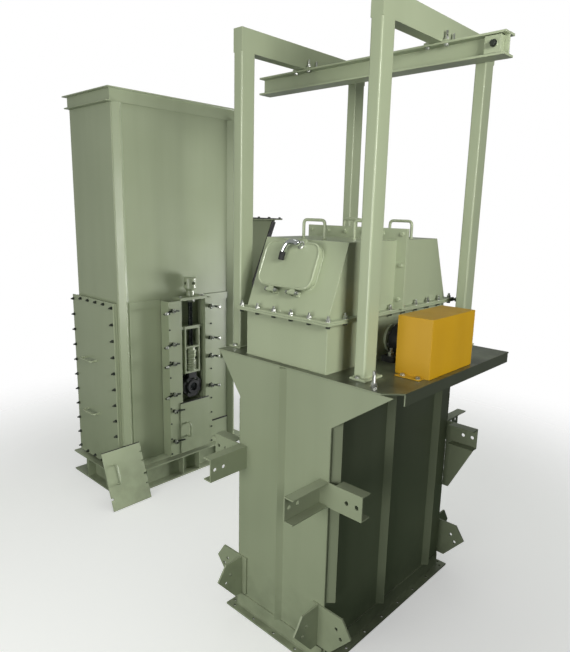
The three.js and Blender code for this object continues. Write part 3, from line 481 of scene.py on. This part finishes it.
def hood_joint_bolts():
    """Bolts through the upright middle flange of the hood."""
    side = high("pulley_box").x - RIM
    other = low("pulley_box").x + RIM
    out = 27 * MM
    joint = high("hood_front").y
    spots = [(x, HOOD_ROOF + out) for x in spaced(other - out, side + out, 0.107)]
    spots += [(x, z) for z in spaced(HOOD_ROOF - 0.1, 1.44, 0.11) for x in (other - out, side + out)]
    bm = bmesh.new()
    for x, z in spots:
        bolt_head(bm, Vector((x, joint - 8 * MM, z)), -Y, 0.010)
        stud(bm, Vector((x, joint + 8.3 * MM, z)), Y, 0.010, 0.008)
    piece("hood_joint_bolts", bm, PAINT)


# Feet of each grip across the hood, and its place along it, in mm from the head's middle.
HOOD_GRIPS = {
    "front_left": (-88, 22, -262),
    "front_right": (62, 172, -120),
    "rear_left": (-200, -90, 150),
    "rear_right": (55, 165, 150),
}


def hood_grips():
    """Smooth round bars over the hood's faceted lifting grips."""
    root = HOOD_ROOF - 2 * MM
    for name, (x0, x1, y) in HOOD_GRIPS.items():
        bm = bmesh.new()
        a = HEAD + Vector((x0 * MM, y * MM, root))
        b = HEAD + Vector((x1 * MM, y * MM, root))
        sweep(bm, grip_path(a, b, Z, 78 * MM), GRIP_BAR, 16)
        for foot in (a, b):
            lathe(bm, [(0.0105, 0.0005), (0.0095, 0.004), (0.0062, 0.008)], foot + 2 * MM * Z, Z, 16)
        piece(f"hood_grip_{name}", bm, PAINT)


class Slope:
    """The hood's front slope: x across, v up it and w out of it, in metres."""

    foot = Vector((0, low("pulley_box").y + RIM, HOOD_FOOT))
    tilt = math.atan(HOOD_INSET / (HOOD_ROOF - HOOD_FOOT))
    up = Vector((0, math.sin(tilt), math.cos(tilt)))
    out = Vector((0, -math.cos(tilt), math.sin(tilt)))

    @classmethod
    def at(cls, x, v, w):
        return Vector((HEAD.x + x, 0, 0)) + cls.foot + v * cls.up + w * cls.out


def rounded_loop(x0, x1, v0, v1, radius, steps=8):
    corners = ((x1, v1, 0), (x0, v1, 1), (x0, v0, 2), (x1, v0, 3))
    inward = ((-1, -1), (1, -1), (1, 1), (-1, 1))
    loop = []
    for (x, v, quarter), (sx, sv) in zip(corners, inward):
        for i in range(steps + 1):
            t = (quarter + i / steps) * math.pi / 2
            loop.append((x + sx * radius + radius * math.cos(t), v + sv * radius + radius * math.sin(t)))
    return loop


def ridge_round_hatch(bm, inset, corner, w, radius):
    """Round ridge inside the door's outline, at a height w over the slope."""
    sides = (HATCH_X[0] + inset, HATCH_X[1] - inset)
    ends = (HATCH_V[0] + inset, HATCH_V[1] - inset)
    points = [Slope.at(x, v, w) for x, v in rounded_loop(*sides, *ends, corner)]
    points.append(points[0].copy())
    sweep(bm, points, radius, 10)


def hatch_details():
    """Pressed rim and seal of the hatch door, its hinge nuts and its latch ring."""
    rim = bmesh.new()
    ridge_round_hatch(rim, 0.0045, 0.042, 0.0305, 0.0042)
    piece("hatch_rim", rim, PAINT, "hatch")
    seal = bmesh.new()
    ridge_round_hatch(seal, 0.012, 0.038, 0.0235, 0.0016)
    piece("hatch_seal", seal, BLACK_RUBBER_AND_SHADE, "hatch")
    weld = bmesh.new()
    ridge_round_hatch(weld, 0.0055, 0.042, 0.0, 0.0035)
    piece("hatch_collar_weld", weld, PAINT)
    nuts = bmesh.new()
    for x in HINGE_X:
        for side in (-1, 1):
            foot = Slope.at(x + side * 0.0202, 0.078, 0.026)
            cap = [(0, 0), (0.0095, 0), (0.0095, 0.006), (0.008, 0.0065)]
            cap += [(0.0075, 0.010), (0.005, 0.0125), (0, 0.0135)]
            lathe(nuts, cap, foot, side * X, 6)
    piece("hatch_hinge_nuts", nuts, ZINC, "hatch")
    boss = bmesh.new()
    ring = [(0.0125, 0.0), (0.0165, 0.0), (0.0165, 0.0035), (0.0128, 0.0055)]
    lathe(boss, ring, Slope.at(LATCH_X, LATCH_V, 0.0314), Slope.out, 24)
    piece("hatch_latch_ring", boss, ZINC, "hatch")


def latch_lever():
    """Chrome lever that swings over the door's edge, with a black tip."""
    height = 0.0376
    spine = [
        (LATCH_X, LATCH_V, height + 0.018),
        (-0.028, 0.2705, height + 0.022),
        (-0.044, 0.2705, height + 0.023),
        (-0.058, 0.264, height + 0.022),
        (-0.068, 0.251, height + 0.021),
        (-0.075, 0.234, height + 0.018),
        (-0.079, 0.214, height + 0.014),
        (-0.082, 0.197, height + 0.010),
    ]
    points = [Slope.at(*p) for p in spine]
    smooth = []
    for i in range(len(points) - 1):
        before = points[max(i - 1, 0)]
        after = points[min(i + 2, len(points) - 1)]
        for k in range(4):
            t = k / 4
            a, b = points[i], points[i + 1]
            tangent_a, tangent_b = (b - before) / 2, (after - a) / 2
            smooth.append(
                (2 * t ** 3 - 3 * t ** 2 + 1) * a + (t ** 3 - 2 * t ** 2 + t) * tangent_a
                + (3 * t ** 2 - 2 * t ** 3) * b + (t ** 3 - t ** 2) * tangent_b
            )
    smooth.append(points[-1])
    radii = [0.012 - 0.0022 * i / len(smooth) for i in range(len(smooth))]
    arm = bmesh.new()
    cut = len(smooth) * 3 // 4
    sweep(arm, smooth[: cut + 1], radii[: cut + 1], 16)
    spindle = [(0, 0), (0.0105, 0), (0.0105, 0.008), (0.0085, 0.010), (0.0085, 0.013), (0.0125, 0.015)]
    spindle += [(0.0128, 0.025), (0.0105, 0.0285), (0, 0.0295)]
    lathe(arm, spindle, Slope.at(LATCH_X, LATCH_V, height), Slope.out, 24)
    lever = piece("latch_lever_chrome", arm, CHROME, "hatch_latch")
    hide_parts("hatch_latch_lever")
    tip = bmesh.new()
    sweep(tip, smooth[cut:], [r + 0.0016 for r in radii[cut:]], 16)
    piece("latch_lever_tip", tip, BLACK_RUBBER_AND_SHADE, "hatch_latch")


# ---------- head section: drive end ----------
def drive_details():
    """Bolts of the bosses and plummer blocks, grease nipples, coupling bolts and shaft key."""
    shaft = centre("head_shaft")
    boss = 10 * MM
    right = high("pulley_box").x - RIM + boss
    left = low("pulley_box").x + RIM - boss
    bosses = bmesh.new()
    for i in range(6):
        t = (i + 0.5) * math.pi / 3
        ring = Vector((0, 49 * MM * math.cos(t), 49 * MM * math.sin(t)))
        bolt_head(bosses, Vector((right, shaft.y, shaft.z)) + ring, X, 0.008)
        bolt_head(bosses, Vector((left, shaft.y, shaft.z)) + ring, -X, 0.008)
    piece("boss_bolts", bosses, ZINC)
    blocks = bmesh.new()
    nipples = bmesh.new()
    for node in ("plummer_block_right", "plummer_block_left"):
        lo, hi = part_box(node)
        mid = centre(node)
        foot_top = lo.z + 24 * MM
        for side in (-1, 1):
            stud(blocks, Vector((mid.x, mid.y + side * 84 * MM, foot_top)), Z, 0.014, 0.016)
        nipple = [(0.007, 0), (0.007, 0.005), (0.0035, 0.006), (0.0035, 0.012), (0.0055, 0.014)]
        nipple += [(0.0045, 0.019), (0, 0.020)]
        lathe(nipples, nipple, Vector((mid.x, mid.y, hi.z - 1 * MM)), Z, 12)
    piece("plummer_block_studs", blocks, ZINC)
    piece("grease_nipples", nipples, ZINC)
    coupling = bmesh.new()
    face = high("shaft_coupling").x
    for i in range(4):
        t = (i + 0.5) * math.pi / 2
        ring = Vector((0, 54 * MM * math.cos(t), 54 * MM * math.sin(t)))
        bolt_head(coupling, Vector((face, shaft.y, shaft.z)) + ring, X, 0.009)
    piece("coupling_bolts", coupling, ZINC, "head_rotor")
    key = bmesh.new()
    key_low = (face - 40 * MM, shaft.y - 4 * MM, shaft.z + 27 * MM)
    key_high = (face - 2 * MM, shaft.y + 4 * MM, shaft.z + 33 * MM)
    slab(key, key_low, key_high)
    piece("coupling_key", key, STEEL, "head_rotor")


def guard_details():
    """Foot bolts and corner seams of the coupling guard."""
    lo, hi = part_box("coupling_guard")
    body_y0, body_y1 = lo.y + 38 * MM, hi.y - 38 * MM
    bolts = bmesh.new()
    for x in (lo.x + 45 * MM, hi.x - 35 * MM):
        for y in (lo.y + 18 * MM, hi.y - 18 * MM):
            bolt_head(bolts, Vector((x, y, lo.z + 3 * MM)), Z, 0.010)
    piece("guard_bolts", bolts, ZINC)
    seams = bmesh.new()
    for x in (lo.x + 1 * MM, hi.x - 1 * MM):
        for y in (body_y0 + 1 * MM, body_y1 - 1 * MM):
            bead(seams, (x, y, lo.z + 6 * MM), (x, y, hi.z - 3 * MM), 1.6 * MM)
    piece("guard_seams", seams, YELLOW)


# ---------- head section: portals, monorail and deck ----------
def post_details():
    """Bolts of the posts' base plates and the tall jacking stud by the near post."""
    bolts = bmesh.new()
    for node in ("portal_frame_left", "portal_frame_right"):
        lo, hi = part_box(node)
        plate_top = lo.z + BASE_PLATE
        for y in (lo.y + 9 * MM, lo.y + 102 * MM, hi.y - 102 * MM, hi.y - 9 * MM):
            bolt_head(bolts, Vector((lo.x + 29 * MM, y, plate_top)), Z, 0.010)
    piece("post_base_bolts", bolts, ZINC)
    tall = bmesh.new()
    foot = HEAD + Vector((0.391, -0.409, high("platform_deck").z))
    stud(tall, foot, Z, 0.014, 0.030)
    lathe(tall, [(0, 0), (0.0062, 0), (0.0062, 0.016), (0, 0.016)], foot + 40 * MM * Z, Z, 12)
    piece("deck_tall_stud", tall, ZINC)


def monorail_details():
    """Clip studs and clip plates under each portal, and the end stop's bolt."""
    rail_low, rail_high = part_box("monorail_beam")
    clips = bmesh.new()
    plates = bmesh.new()
    for node in ("portal_frame_left", "portal_frame_right"):
        post_low = low(node)
        beam_left = post_low.x + 4 * MM
        beam_right = beam_left + POST.x
        for x, side in ((beam_left - 13 * MM, -1), (beam_right + 13 * MM, 1)):
            for y in (rail_low.y + 12 * MM, rail_high.y - 12 * MM):
                foot = Vector((x, y, rail_high.z + 6 * MM))
                stud(clips, foot, Z, 0.010, 0.022)
                bolt_head(clips, Vector((x, y, rail_high.z - 8 * MM)), -Z, 0.010)
                a = Vector((min(x - side * 14 * MM, x + side * 12 * MM), y - 11 * MM, rail_high.z + 0.4 * MM))
                b = Vector((max(x - side * 14 * MM, x + side * 12 * MM), y + 11 * MM, rail_high.z + 6 * MM))
                slab(plates, a, b)
    piece("rail_clip_studs", clips, ZINC)
    piece("rail_clip_plates", plates, PAINT)
    stop_low, stop_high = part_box("monorail_stop")
    stop = bmesh.new()
    middle = (stop_low + stop_high) / 2
    bolt_head(stop, Vector((middle.x + 8 * MM, stop_low.y - 0.4 * MM, rail_high.z - 39 * MM)), -Y, 0.013)
    piece("end_stop_bolt", stop, DARK_BOLT)


def deck_details():
    """Weld beads where the posts and the pulley box meet their plates."""
    welds = bmesh.new()
    for node in ("portal_frame_left", "portal_frame_right"):
        lo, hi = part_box(node)
        z = lo.z + BASE_PLATE
        x0, x1 = lo.x + 4 * MM, lo.x + 4 * MM + POST.x
        for y0 in (lo.y + 18 * MM, hi.y - 18 * MM - POST.y):
            y1 = y0 + POST.y
            bead(welds, (x0, y0, z), (x1, y0, z))
            bead(welds, (x1, y0, z), (x1, y1, z))
            bead(welds, (x0, y0, z), (x0, y1, z))
    lo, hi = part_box("pulley_box")
    x0, x1 = lo.x + RIM, hi.x - RIM
    y0, y1 = lo.y + RIM, hi.y - RIM
    for a, b in (((x0, y0), (x1, y0)), ((x1, y0), (x1, y1)), ((x0, y0), (x0, y1)), ((x0, y1), (x1, y1))):
        bead(welds, (*a, lo.z), (*b, lo.z), 3.5 * MM)
    piece("deck_welds", welds, PAINT)


def casing_welds():
    """Corner seams of the head casing and of its foot."""
    welds = bmesh.new()
    lo, hi = HEAD - HEAD_HALF, HEAD + HEAD_HALF
    for x in (lo.x, hi.x):
        for y in (lo.y, hi.y):
            bead(welds, (x, y, 0.075), (x, y, 0.69), 2 * MM)
            bead(welds, (x, y, 0.80), (x, y, 1.0), 2 * MM)
    foot_z = 9 * MM
    edge = 9 * MM
    for y in (lo.y - edge, hi.y + edge):
        bead(welds, (lo.x, y, foot_z), (hi.x, y, foot_z), 3 * MM)
    for x in (lo.x - edge, hi.x + edge):
        bead(welds, (x, lo.y, foot_z), (x, hi.y, foot_z), 3 * MM)
    piece("head_casing_welds", welds, PAINT)


def corner_rod():
    """Dark stud that stands out of the hood's far corner."""
    bm = bmesh.new()
    corner = high("pulley_box")
    foot = Vector((corner.x + 0.2 * MM, corner.y - 16 * MM, corner.z + 4 * MM))
    lathe(bm, [(0, -0.012), (0.006, -0.012), (0.006, 0.030), (0.005, 0.031), (0, 0.031)], foot, X, 12)
    lathe(bm, [(0, 0.0), (0.0105, 0.0), (0.0105, 0.009), (0, 0.009)], foot, X, 6)
    lathe(bm, [(0, 0.020), (0.0105, 0.020), (0.0105, 0.030), (0, 0.030)], foot, X, 6)
    piece("hood_corner_stud", bm, DARK_BOLT)


# ---------- boot section ----------
def cover_details():
    """Dark bolts round the front cover, and smooth bars over its grips."""
    lo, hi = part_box("boot_front_cover")
    inset = 14 * MM
    bolts = bmesh.new()
    for z in spaced(hi.z - 28 * MM, lo.z + 30 * MM, 0.1):
        for x in (lo.x + inset, hi.x - inset):
            stud(bolts, Vector((x, COVER_FACE, z)), -Y, 0.010, 0.010)
    for x in spaced(lo.x + inset, hi.x - inset, 0.095)[1:-1]:
        for z in (hi.z - 16 * MM, lo.z + 16 * MM):
            stud(bolts, Vector((x, COVER_FACE, z)), -Y, 0.010, 0.006)
    piece("cover_bolts", bolts, DARK_BOLT)
    grips = bmesh.new()
    for z in (0.83, 0.48):
        a = Vector((BOOT.x - 0.128, COVER_FACE + 2 * MM, z))
        b = Vector((BOOT.x + 0.008, COVER_FACE + 2 * MM, z))
        sweep(grips, grip_path(a, b, -Y, 44 * MM), GRIP_BAR, 16)
    piece("cover_grips", grips, PAINT)


def outer_face(node, side):
    """X of a node's outermost face on this side of its section."""
    return high(node).x if side > 0 else low(node).x


def nut_profile(bore, corner, height):
    """Profile of a hexagon nut with chamfered corners."""
    chamfer = 3 * MM
    lower = [(bore, 0), (corner - chamfer, 0), (corner, chamfer)]
    upper = [(corner, height - chamfer), (corner - chamfer, height), (bore, height)]
    return lower + upper


def takeup_details(name, side):
    """Thread, nuts, spring and bearing fittings of one screw take-up."""
    screw = centre(f"takeup_screw_{name}")
    shank_low = low(f"takeup_screw_{name}").z
    frame_top = high(f"takeup_frame_{name}").z
    yoke_foot = low(f"takeup_yoke_{name}").z
    axis = Vector((screw.x, screw.y, 0))
    threads = bmesh.new()
    length = frame_top - shank_low - 2 * MM
    thread(threads, axis + (shank_low + 1 * MM) * Z, Z, 13.7 * MM, length, 6 * MM, 1.8 * MM)
    piece(f"takeup_thread_{name}", threads, THREAD, f"screw_{name}")
    bridge_nut = bmesh.new()
    nut = nut_profile(16.2 * MM, 30 * MM, 18 * MM)
    lathe(bridge_nut, nut, axis + (frame_top - 36 * MM) * Z, Z, 6)
    piece(f"takeup_bridge_nut_{name}", bridge_nut, ZINC)
    spring_foot, spring_top = yoke_foot + 18 * MM, yoke_foot + 96 * MM
    coil = bmesh.new()
    turns, steps, radius = 5, 18, 31.5 * MM
    points = []
    for i in range(turns * steps + 1):
        t = 2 * math.pi * i / steps
        rise = spring_foot + (spring_top - spring_foot) * i / (turns * steps)
        points.append(axis + Vector((radius * math.cos(t), radius * math.sin(t), rise)))
    sweep(coil, points, 4.5 * MM, 8)
    piece(f"takeup_spring_{name}", coil, PAINT, "boot_carriage")
    sleeve = bmesh.new()
    lathe(sleeve, [(27.4 * MM, 0), (27.4 * MM, 155 * MM)], axis + (yoke_foot + 13 * MM) * Z, Z, 24)
    nuts = nut_profile(28 * MM, 36 * MM, 23 * MM)
    lathe(sleeve, nuts, axis + (spring_top + 8 * MM) * Z, Z, 6)
    lathe(sleeve, nuts, axis + (spring_top + 33 * MM) * Z, Z, 6)
    piece(f"takeup_spring_nuts_{name}", sleeve, PAINT, "boot_carriage")
    bearing = centre(f"boot_bearing_{name}")
    shaft = centre("boot_shaft")
    face = outer_face(f"boot_bearing_{name}", side) - side * 12 * MM
    studs = bmesh.new()
    for i in range(4):
        t = (i + 0.5) * math.pi / 2
        ring = Vector((face, shaft.y + 58 * MM * math.cos(t), shaft.z + 58 * MM * math.sin(t)))
        bolt_head(studs, ring, side * X, 0.008)
    nipple = [(0.006, 0), (0.006, 0.004), (0.0035, 0.005), (0.0035, 0.012), (0.005, 0.014), (0, 0.018)]
    lathe(studs, nipple, Vector((face, shaft.y + 8 * MM, bearing.z + 40 * MM)), side * X, 10)
    piece(f"boot_bearing_bolts_{name}", studs, DARK_BOLT, "boot_carriage")
    collar = bmesh.new()
    end = outer_face("boot_shaft", side)
    ring = [(27.2 * MM, -8 * MM), (36 * MM, -8 * MM), (38 * MM, -6 * MM), (38 * MM, 0), (27.2 * MM, 1 * MM)]
    lathe(collar, ring, Vector((end - side * 2 * MM, shaft.y, shaft.z)), side * X, 24)
    piece(f"boot_shaft_collar_{name}", collar, THREAD, "boot_rotor")


def takeup_frame_bolts(name, side):
    """Small dark bolts down the strips of a take-up frame, and bright ones on its bridge."""
    lo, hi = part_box(f"takeup_frame_{name}")
    face = outer_face(f"takeup_frame_{name}", side) - side * 6 * MM
    bolts = bmesh.new()
    for z in spaced(lo.z + 18 * MM, hi.z - 90 * MM, 0.11):
        for y in (lo.y + 7 * MM, hi.y - 7 * MM):
            bolt_head(bolts, Vector((face, y, z)), side * X, 0.006)
    piece(f"takeup_frame_bolts_{name}", bolts, DARK_BOLT)
    bridge = bmesh.new()
    mid = centre(f"takeup_screw_{name}")
    for y in (mid.y - 86 * MM, mid.y + 70 * MM, mid.y + 92 * MM):
        bolt_head(bridge, Vector((mid.x + side * 14 * MM, y, hi.z)), Z, 0.010)
    piece(f"takeup_bridge_bolts_{name}", bridge, ZINC)


def clamp_fittings():
    """Plated nut and stud end over every swing clamp, and its grip knob."""
    for body, nodes in frame["record"]["behaviour"]["bodies"].items():
        if "clamp" not in body:
            continue
        joint = next(j for j in frame["joints"] if j["child"] == body)
        pivot = Vector(joint["pos_m"])
        outer = high(nodes[0]).x
        bm = bmesh.new()
        foot = Vector((outer - 20.5 * MM, pivot.y, pivot.z))
        profile = [(0, 0), (12.5 * MM, 0), (14.2 * MM, 1.5 * MM)]
        profile += [(14.2 * MM, 9.5 * MM), (12.5 * MM, 11 * MM), (0, 11 * MM)]
        lathe(bm, profile, foot, X, 6)
        stud_end = [(8.3 * MM, 0), (8.3 * MM, 18 * MM), (7 * MM, 20.3 * MM), (0, 20.3 * MM)]
        lathe(bm, stud_end, foot, X, 12)
        if "door" not in body:
            side = -1 if "left" in body else 1
            knob = Vector((outer - 19 * MM, pivot.y + side * 60 * MM, pivot.z - 10 * MM))
            ball = [(0, 0), (9 * MM, 0), (11.5 * MM, 4 * MM)]
            ball += [(11.5 * MM, 9 * MM), (8 * MM, 14 * MM), (0, 15 * MM)]
            lathe(bm, ball, knob, X, 16)
        piece(f"{nodes[0]}_nut", bm, ZINC, body)


def door_details():
    """Black strip on the cleaning door's top edge, partly its seal and partly painted shadow of the gap above it,
    a seal on the plate beside it, and a smooth bar over its grip.
    """
    lo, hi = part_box("cleaning_door")
    # Black strip on the door's top edge: partly the door's seal, partly painted shadow of the gap above the door.
    seal = bmesh.new()
    seal_low = (lo.x - 0.2 * MM, lo.y + 2 * MM, hi.z - 0.5 * MM)
    seal_high = (lo.x + 7 * MM, hi.y - 2 * MM, hi.z + 6 * MM)
    slab(seal, seal_low, seal_high)
    piece("cleaning_door_seal_and_gap_shadow", seal, BLACK_RUBBER_AND_SHADE, "door")
    face = lo.x + 6 * MM
    grip = bmesh.new()
    y = BOOT.y - 36 * MM
    sweep(grip, grip_path((face, y, 0.300), (face, y, 0.392), X, 39 * MM), GRIP_BAR, 16)
    piece("cleaning_door_grip", grip, PAINT, "door")
    wall = high("boot_wall_right").x
    strip = bmesh.new()
    slab(strip, (wall - 0.026, BOOT.y + 0.197, 0.302), (wall - 0.017, BOOT.y + 0.384, 0.309))
    piece("lower_plate_seal", strip, BLACK_RUBBER_AND_SHADE)


def loose_door_details():
    """Seal along the top of the leaning door, and a smooth bar over its grip."""
    lo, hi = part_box("loose_cleaning_door")
    lean = 0.355
    up = Vector((-math.sin(lean), 0, math.cos(lean)))
    out = Vector((math.cos(lean), 0, math.sin(lean)))
    foot = Vector((BOOT.x + 0.397, lo.y, 0))
    grip = bmesh.new()
    a = foot + 62 * MM * Y + 0.150 * up + 5 * MM * out
    b = foot + 62 * MM * Y + 0.266 * up + 5 * MM * out
    sweep(grip, grip_path(a, b, out, 38 * MM), GRIP_BAR, 16)
    piece("loose_door_grip", grip, PAINT, "loose_door")
    seal = bmesh.new()
    start = foot + 0.3525 * up + 3 * MM * out
    width = hi.y - lo.y
    sweep(seal, [start + 2 * MM * Y, start + (width - 2 * MM) * Y], 3.4 * MM, 10)
    piece("loose_door_seal", seal, BLACK_RUBBER_AND_SHADE, "loose_door")


def chute_details():
    """Black bands down the chute's slope that are painted shade, a black gasket round its rim that is partly
    painted shade on the rim's edge, and the rim's bolts.
    """
    lo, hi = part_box("inlet_chute")
    top = hi.z
    rim = bmesh.new()
    for y in spaced(lo.y + 40 * MM, hi.y - 16 * MM, 0.1):
        for x in (lo.x + 16 * MM, hi.x - 16 * MM):
            bolt_head(rim, Vector((x, y, top + 4 * MM)), Z, 0.010)
    for x in spaced(lo.x + 16 * MM, hi.x - 16 * MM, 0.105)[1:-1]:
        bolt_head(rim, Vector((x, hi.y - 20 * MM, top + 4 * MM)), Z, 0.010)
    piece("chute_rim_bolts", rim, DARK_BOLT)
    # Rows of black bars down each side of the slope: a band of painted shade where the sloping wall meets the side
    # plate.
    edge = bmesh.new()
    foot = Vector((0, BOOT.y + 0.4703, 0.7226))
    head = Vector((0, BOOT.y + 0.900, 1.696))
    along = (head - foot).normalized()
    for x in (hi.x - 36 * MM, lo.x + 36 * MM):
        side = 1 if x > BOOT.x else -1
        for shift in (0.0, 8.0, 16.0, 24.0, 32.0):
            push = Vector((side * 4 * MM, -shift * MM * along.z, shift * MM * along.y))
            sweep(edge, [Vector((x, 0, 0)) + foot + push, Vector((x, 0, 0)) + head + push], 4.6 * MM, 6)
    piece("chute_slope_shade_bands", edge, BLACK_RUBBER_AND_SHADE)
    # Black gasket on the rim's top: partly a real gasket, partly painted shade on the rim's edge.
    gasket = bmesh.new()
    width = 34 * MM
    inner_x, inner_y = (lo.x + width, hi.x - width), (lo.y + 2 * MM, hi.y - width)
    slab(gasket, (lo.x, lo.y + 2 * MM, top), (inner_x[0], hi.y, top + 4 * MM))
    slab(gasket, (inner_x[1], lo.y + 2 * MM, top), (hi.x, hi.y, top + 4 * MM))
    slab(gasket, (inner_x[0], inner_y[1], top), (inner_x[1], hi.y, top + 4 * MM))
    piece("chute_rim_gasket_and_edge_shade", gasket, BLACK_RUBBER_AND_SHADE)


def boot_welds():
    """Seams at the corner stiffeners and under the top ring."""
    welds = bmesh.new()
    ring_foot = low("boot_top_ring").z
    x0, x1 = BOOT.x - BOOT_HALF.x, BOOT.x + BOOT_HALF.x
    for y in (BOOT.y - 0.454, BOOT.y - 0.39, BOOT.y + 0.39, BOOT.y + 0.454):
        for x in (x0, x1):
            bead(welds, (x, y, 0.15), (x, y, ring_foot - 2 * MM), 1.8 * MM)
    for x in (x0 - 8 * MM, x1 + 8 * MM):
        a = (x, BOOT.y - BOOT_HALF.y, ring_foot)
        b = (x, BOOT.y + BOOT_HALF.y, ring_foot)
        bead(welds, a, b, 2 * MM)
    piece("boot_casing_welds", welds, PAINT)


hood_flange_bolts()
hood_joint_bolts()
hood_grips()
hatch_details()
latch_lever()
drive_details()
guard_details()
post_details()
monorail_details()
deck_details()
casing_welds()
corner_rod()
cover_details()
for side_name, side_sign in (("right", 1), ("left", -1)):
    takeup_details(side_name, side_sign)
    takeup_frame_bolts(side_name, side_sign)
clamp_fittings()
door_details()
loose_door_details()
chute_details()
boot_welds()


# ---------- stage and light ----------
def make_floor():
    """Pale floor that fades out into the white surroundings and throws little light back up."""
    bm = bmesh.new()
    bmesh.ops.create_circle(bm, cap_ends=True, radius=9.0, segments=96)
    mesh = bpy.data.meshes.new("floor")
    bm.to_mesh(mesh)
    bm.free()
    floor = bpy.data.objects.new("floor", mesh)
    floor.location.z = -0.0005
    scene.collection.objects.link(floor)
    material = bpy.data.materials.new("pale_floor")
    material.use_nodes = True
    tree = material.node_tree
    output = tree.nodes["Material Output"]
    shader = tree.nodes["Principled BSDF"]
    shader.inputs["Roughness"].default_value = 0.7
    shader.inputs["Specular IOR Level"].default_value = 0.1
    shader.inputs["Emission Color"].default_value = (1, 1, 1, 1)
    path = tree.nodes.new("ShaderNodeLightPath")
    colour = tree.nodes.new("ShaderNodeMix")
    colour.data_type = "RGBA"
    colour.inputs["A"].default_value = (0.13, 0.18, 0.12, 1)
    colour.inputs["B"].default_value = (0.8, 0.8, 0.79, 1)
    glow = tree.nodes.new("ShaderNodeMath")
    glow.operation = "MULTIPLY"
    glow.inputs[1].default_value = 0.42
    tree.links.new(path.outputs["Is Camera Ray"], colour.inputs["Factor"])
    tree.links.new(path.outputs["Is Camera Ray"], glow.inputs[0])
    tree.links.new(colour.outputs["Result"], shader.inputs["Base Color"])
    tree.links.new(glow.outputs["Value"], shader.inputs["Emission Strength"])
    place = tree.nodes.new("ShaderNodeTexCoord")
    length = tree.nodes.new("ShaderNodeVectorMath")
    length.operation = "LENGTH"
    fade = tree.nodes.new("ShaderNodeMapRange")
    fade.interpolation_type = "SMOOTHSTEP"
    fade.inputs["From Min"].default_value = 1.5
    fade.inputs["From Max"].default_value = 3.6
    clear = tree.nodes.new("ShaderNodeBsdfTransparent")
    mix = tree.nodes.new("ShaderNodeMixShader")
    tree.links.new(place.outputs["Object"], length.inputs[0])
    tree.links.new(length.outputs["Value"], fade.inputs["Value"])
    tree.links.new(fade.outputs["Result"], mix.inputs["Fac"])
    tree.links.new(shader.outputs["BSDF"], mix.inputs[1])
    tree.links.new(clear.outputs["BSDF"], mix.inputs[2])
    tree.links.new(mix.outputs["Shader"], output.inputs["Surface"])
    mesh.materials.append(material)
    return floor


def soft_light(name, place, aim, size, power, colour=(1, 1, 1)):
    data = bpy.data.lights.new(name, "AREA")
    data.shape = "RECTANGLE"
    data.size, data.size_y = size
    data.energy = power
    data.color = colour
    light = bpy.data.objects.new(name, data)
    light.location = place
    light.rotation_euler = (Vector(aim) - Vector(place)).to_track_quat("-Z", "Y").to_euler()
    light.visible_camera = False
    scene.collection.objects.link(light)
    return light


def fall_on(light, objects):
    """Let the light fall on these objects alone."""
    lit = bpy.data.collections.new(f"lit_by_{light.name}")
    for obj in objects:
        lit.objects.link(obj)
    light.light_linking.receiver_collection = lit


def make_world():
    """White to the camera; as a light, soft all round and dim from the +X side."""
    world = bpy.data.worlds.new("surroundings")
    world.use_nodes = True
    tree = world.node_tree
    output = tree.nodes["World Output"]
    lit = tree.nodes["Background"]
    lit.inputs["Color"].default_value = (0.95, 1.0, 0.93, 1)
    place = tree.nodes.new("ShaderNodeTexCoord")
    split = tree.nodes.new("ShaderNodeSeparateXYZ")
    dim = tree.nodes.new("ShaderNodeMapRange")
    dim.inputs["From Min"].default_value = -0.1
    dim.inputs["From Max"].default_value = 0.6
    dim.inputs["To Min"].default_value = 0.30
    dim.inputs["To Max"].default_value = 0.07
    tree.links.new(place.outputs["Generated"], split.inputs["Vector"])
    tree.links.new(split.outputs[0], dim.inputs["Value"])
    tree.links.new(dim.outputs["Result"], lit.inputs["Strength"])
    seen = tree.nodes.new("ShaderNodeBackground")
    seen.inputs["Color"].default_value = (1, 1, 1, 1)
    path = tree.nodes.new("ShaderNodeLightPath")
    mix = tree.nodes.new("ShaderNodeMixShader")
    tree.links.new(path.outputs["Is Camera Ray"], mix.inputs["Fac"])
    tree.links.new(lit.outputs["Background"], mix.inputs[1])
    tree.links.new(seen.outputs["Background"], mix.inputs[2])
    tree.links.new(mix.outputs["Shader"], output.inputs["Surface"])
    scene.world = world


def in_boot_section(obj):
    return obj is not floor and max((obj.matrix_world @ Vector(c)).x for c in obj.bound_box) < 0


floor = make_floor()
make_world()
scene.view_settings.view_transform = "Standard"
# The head casing stays in the deck's shadow, so the side light leaves it out.
deck_top = high("platform_deck").z + 1 * MM
under_deck = [n for n in frame["nodes"] if low(n).x > 0 and high(n).z < deck_top]
shaded = [frame["nodes"][n] for n in under_deck]
shaded.append(scene.objects["head_casing_welds"])
front_side = [frame["nodes"][n] for n in under_deck if "front" in n]
warm, cool = (1, 1, 0.97), (0.97, 1, 0.97)
soft_light("front", HEAD + Vector((0.2, -3.8, 1.2)), HEAD + Vector((-0.2, 0, 1.0)), (2.2, 1.8), 66, warm)
side_place, side_aim = HEAD + Vector((3.0, -1.4, 2.5)), HEAD + Vector((0, 0, 1.8))
side = soft_light("side", side_place, side_aim, (1.2, 1.0), 122, warm)
fall_on(side, [o for o in scene.objects if o.type == "MESH" and o is not floor and o not in shaded])
edge = soft_light("side_low", side_place, side_aim, (1.2, 1.0), 24, warm)
fall_on(edge, front_side)
soft_light("overhead", (0.3, -0.2, 5.2), (0.1, 0, 1.0), (3.0, 2.6), 36, cool)
rear = soft_light("rear", HEAD + Vector((-0.3, 2.8, 0.6)), BOOT + Vector((0.24, 0, 0.35)), (1.4, 0.8), 92)
boot_meshes = [o for o in scene.objects if o.type == "MESH" and in_boot_section(o)]
fall_on(rear, [o for o in boot_meshes if o.name != "inlet_chute"])
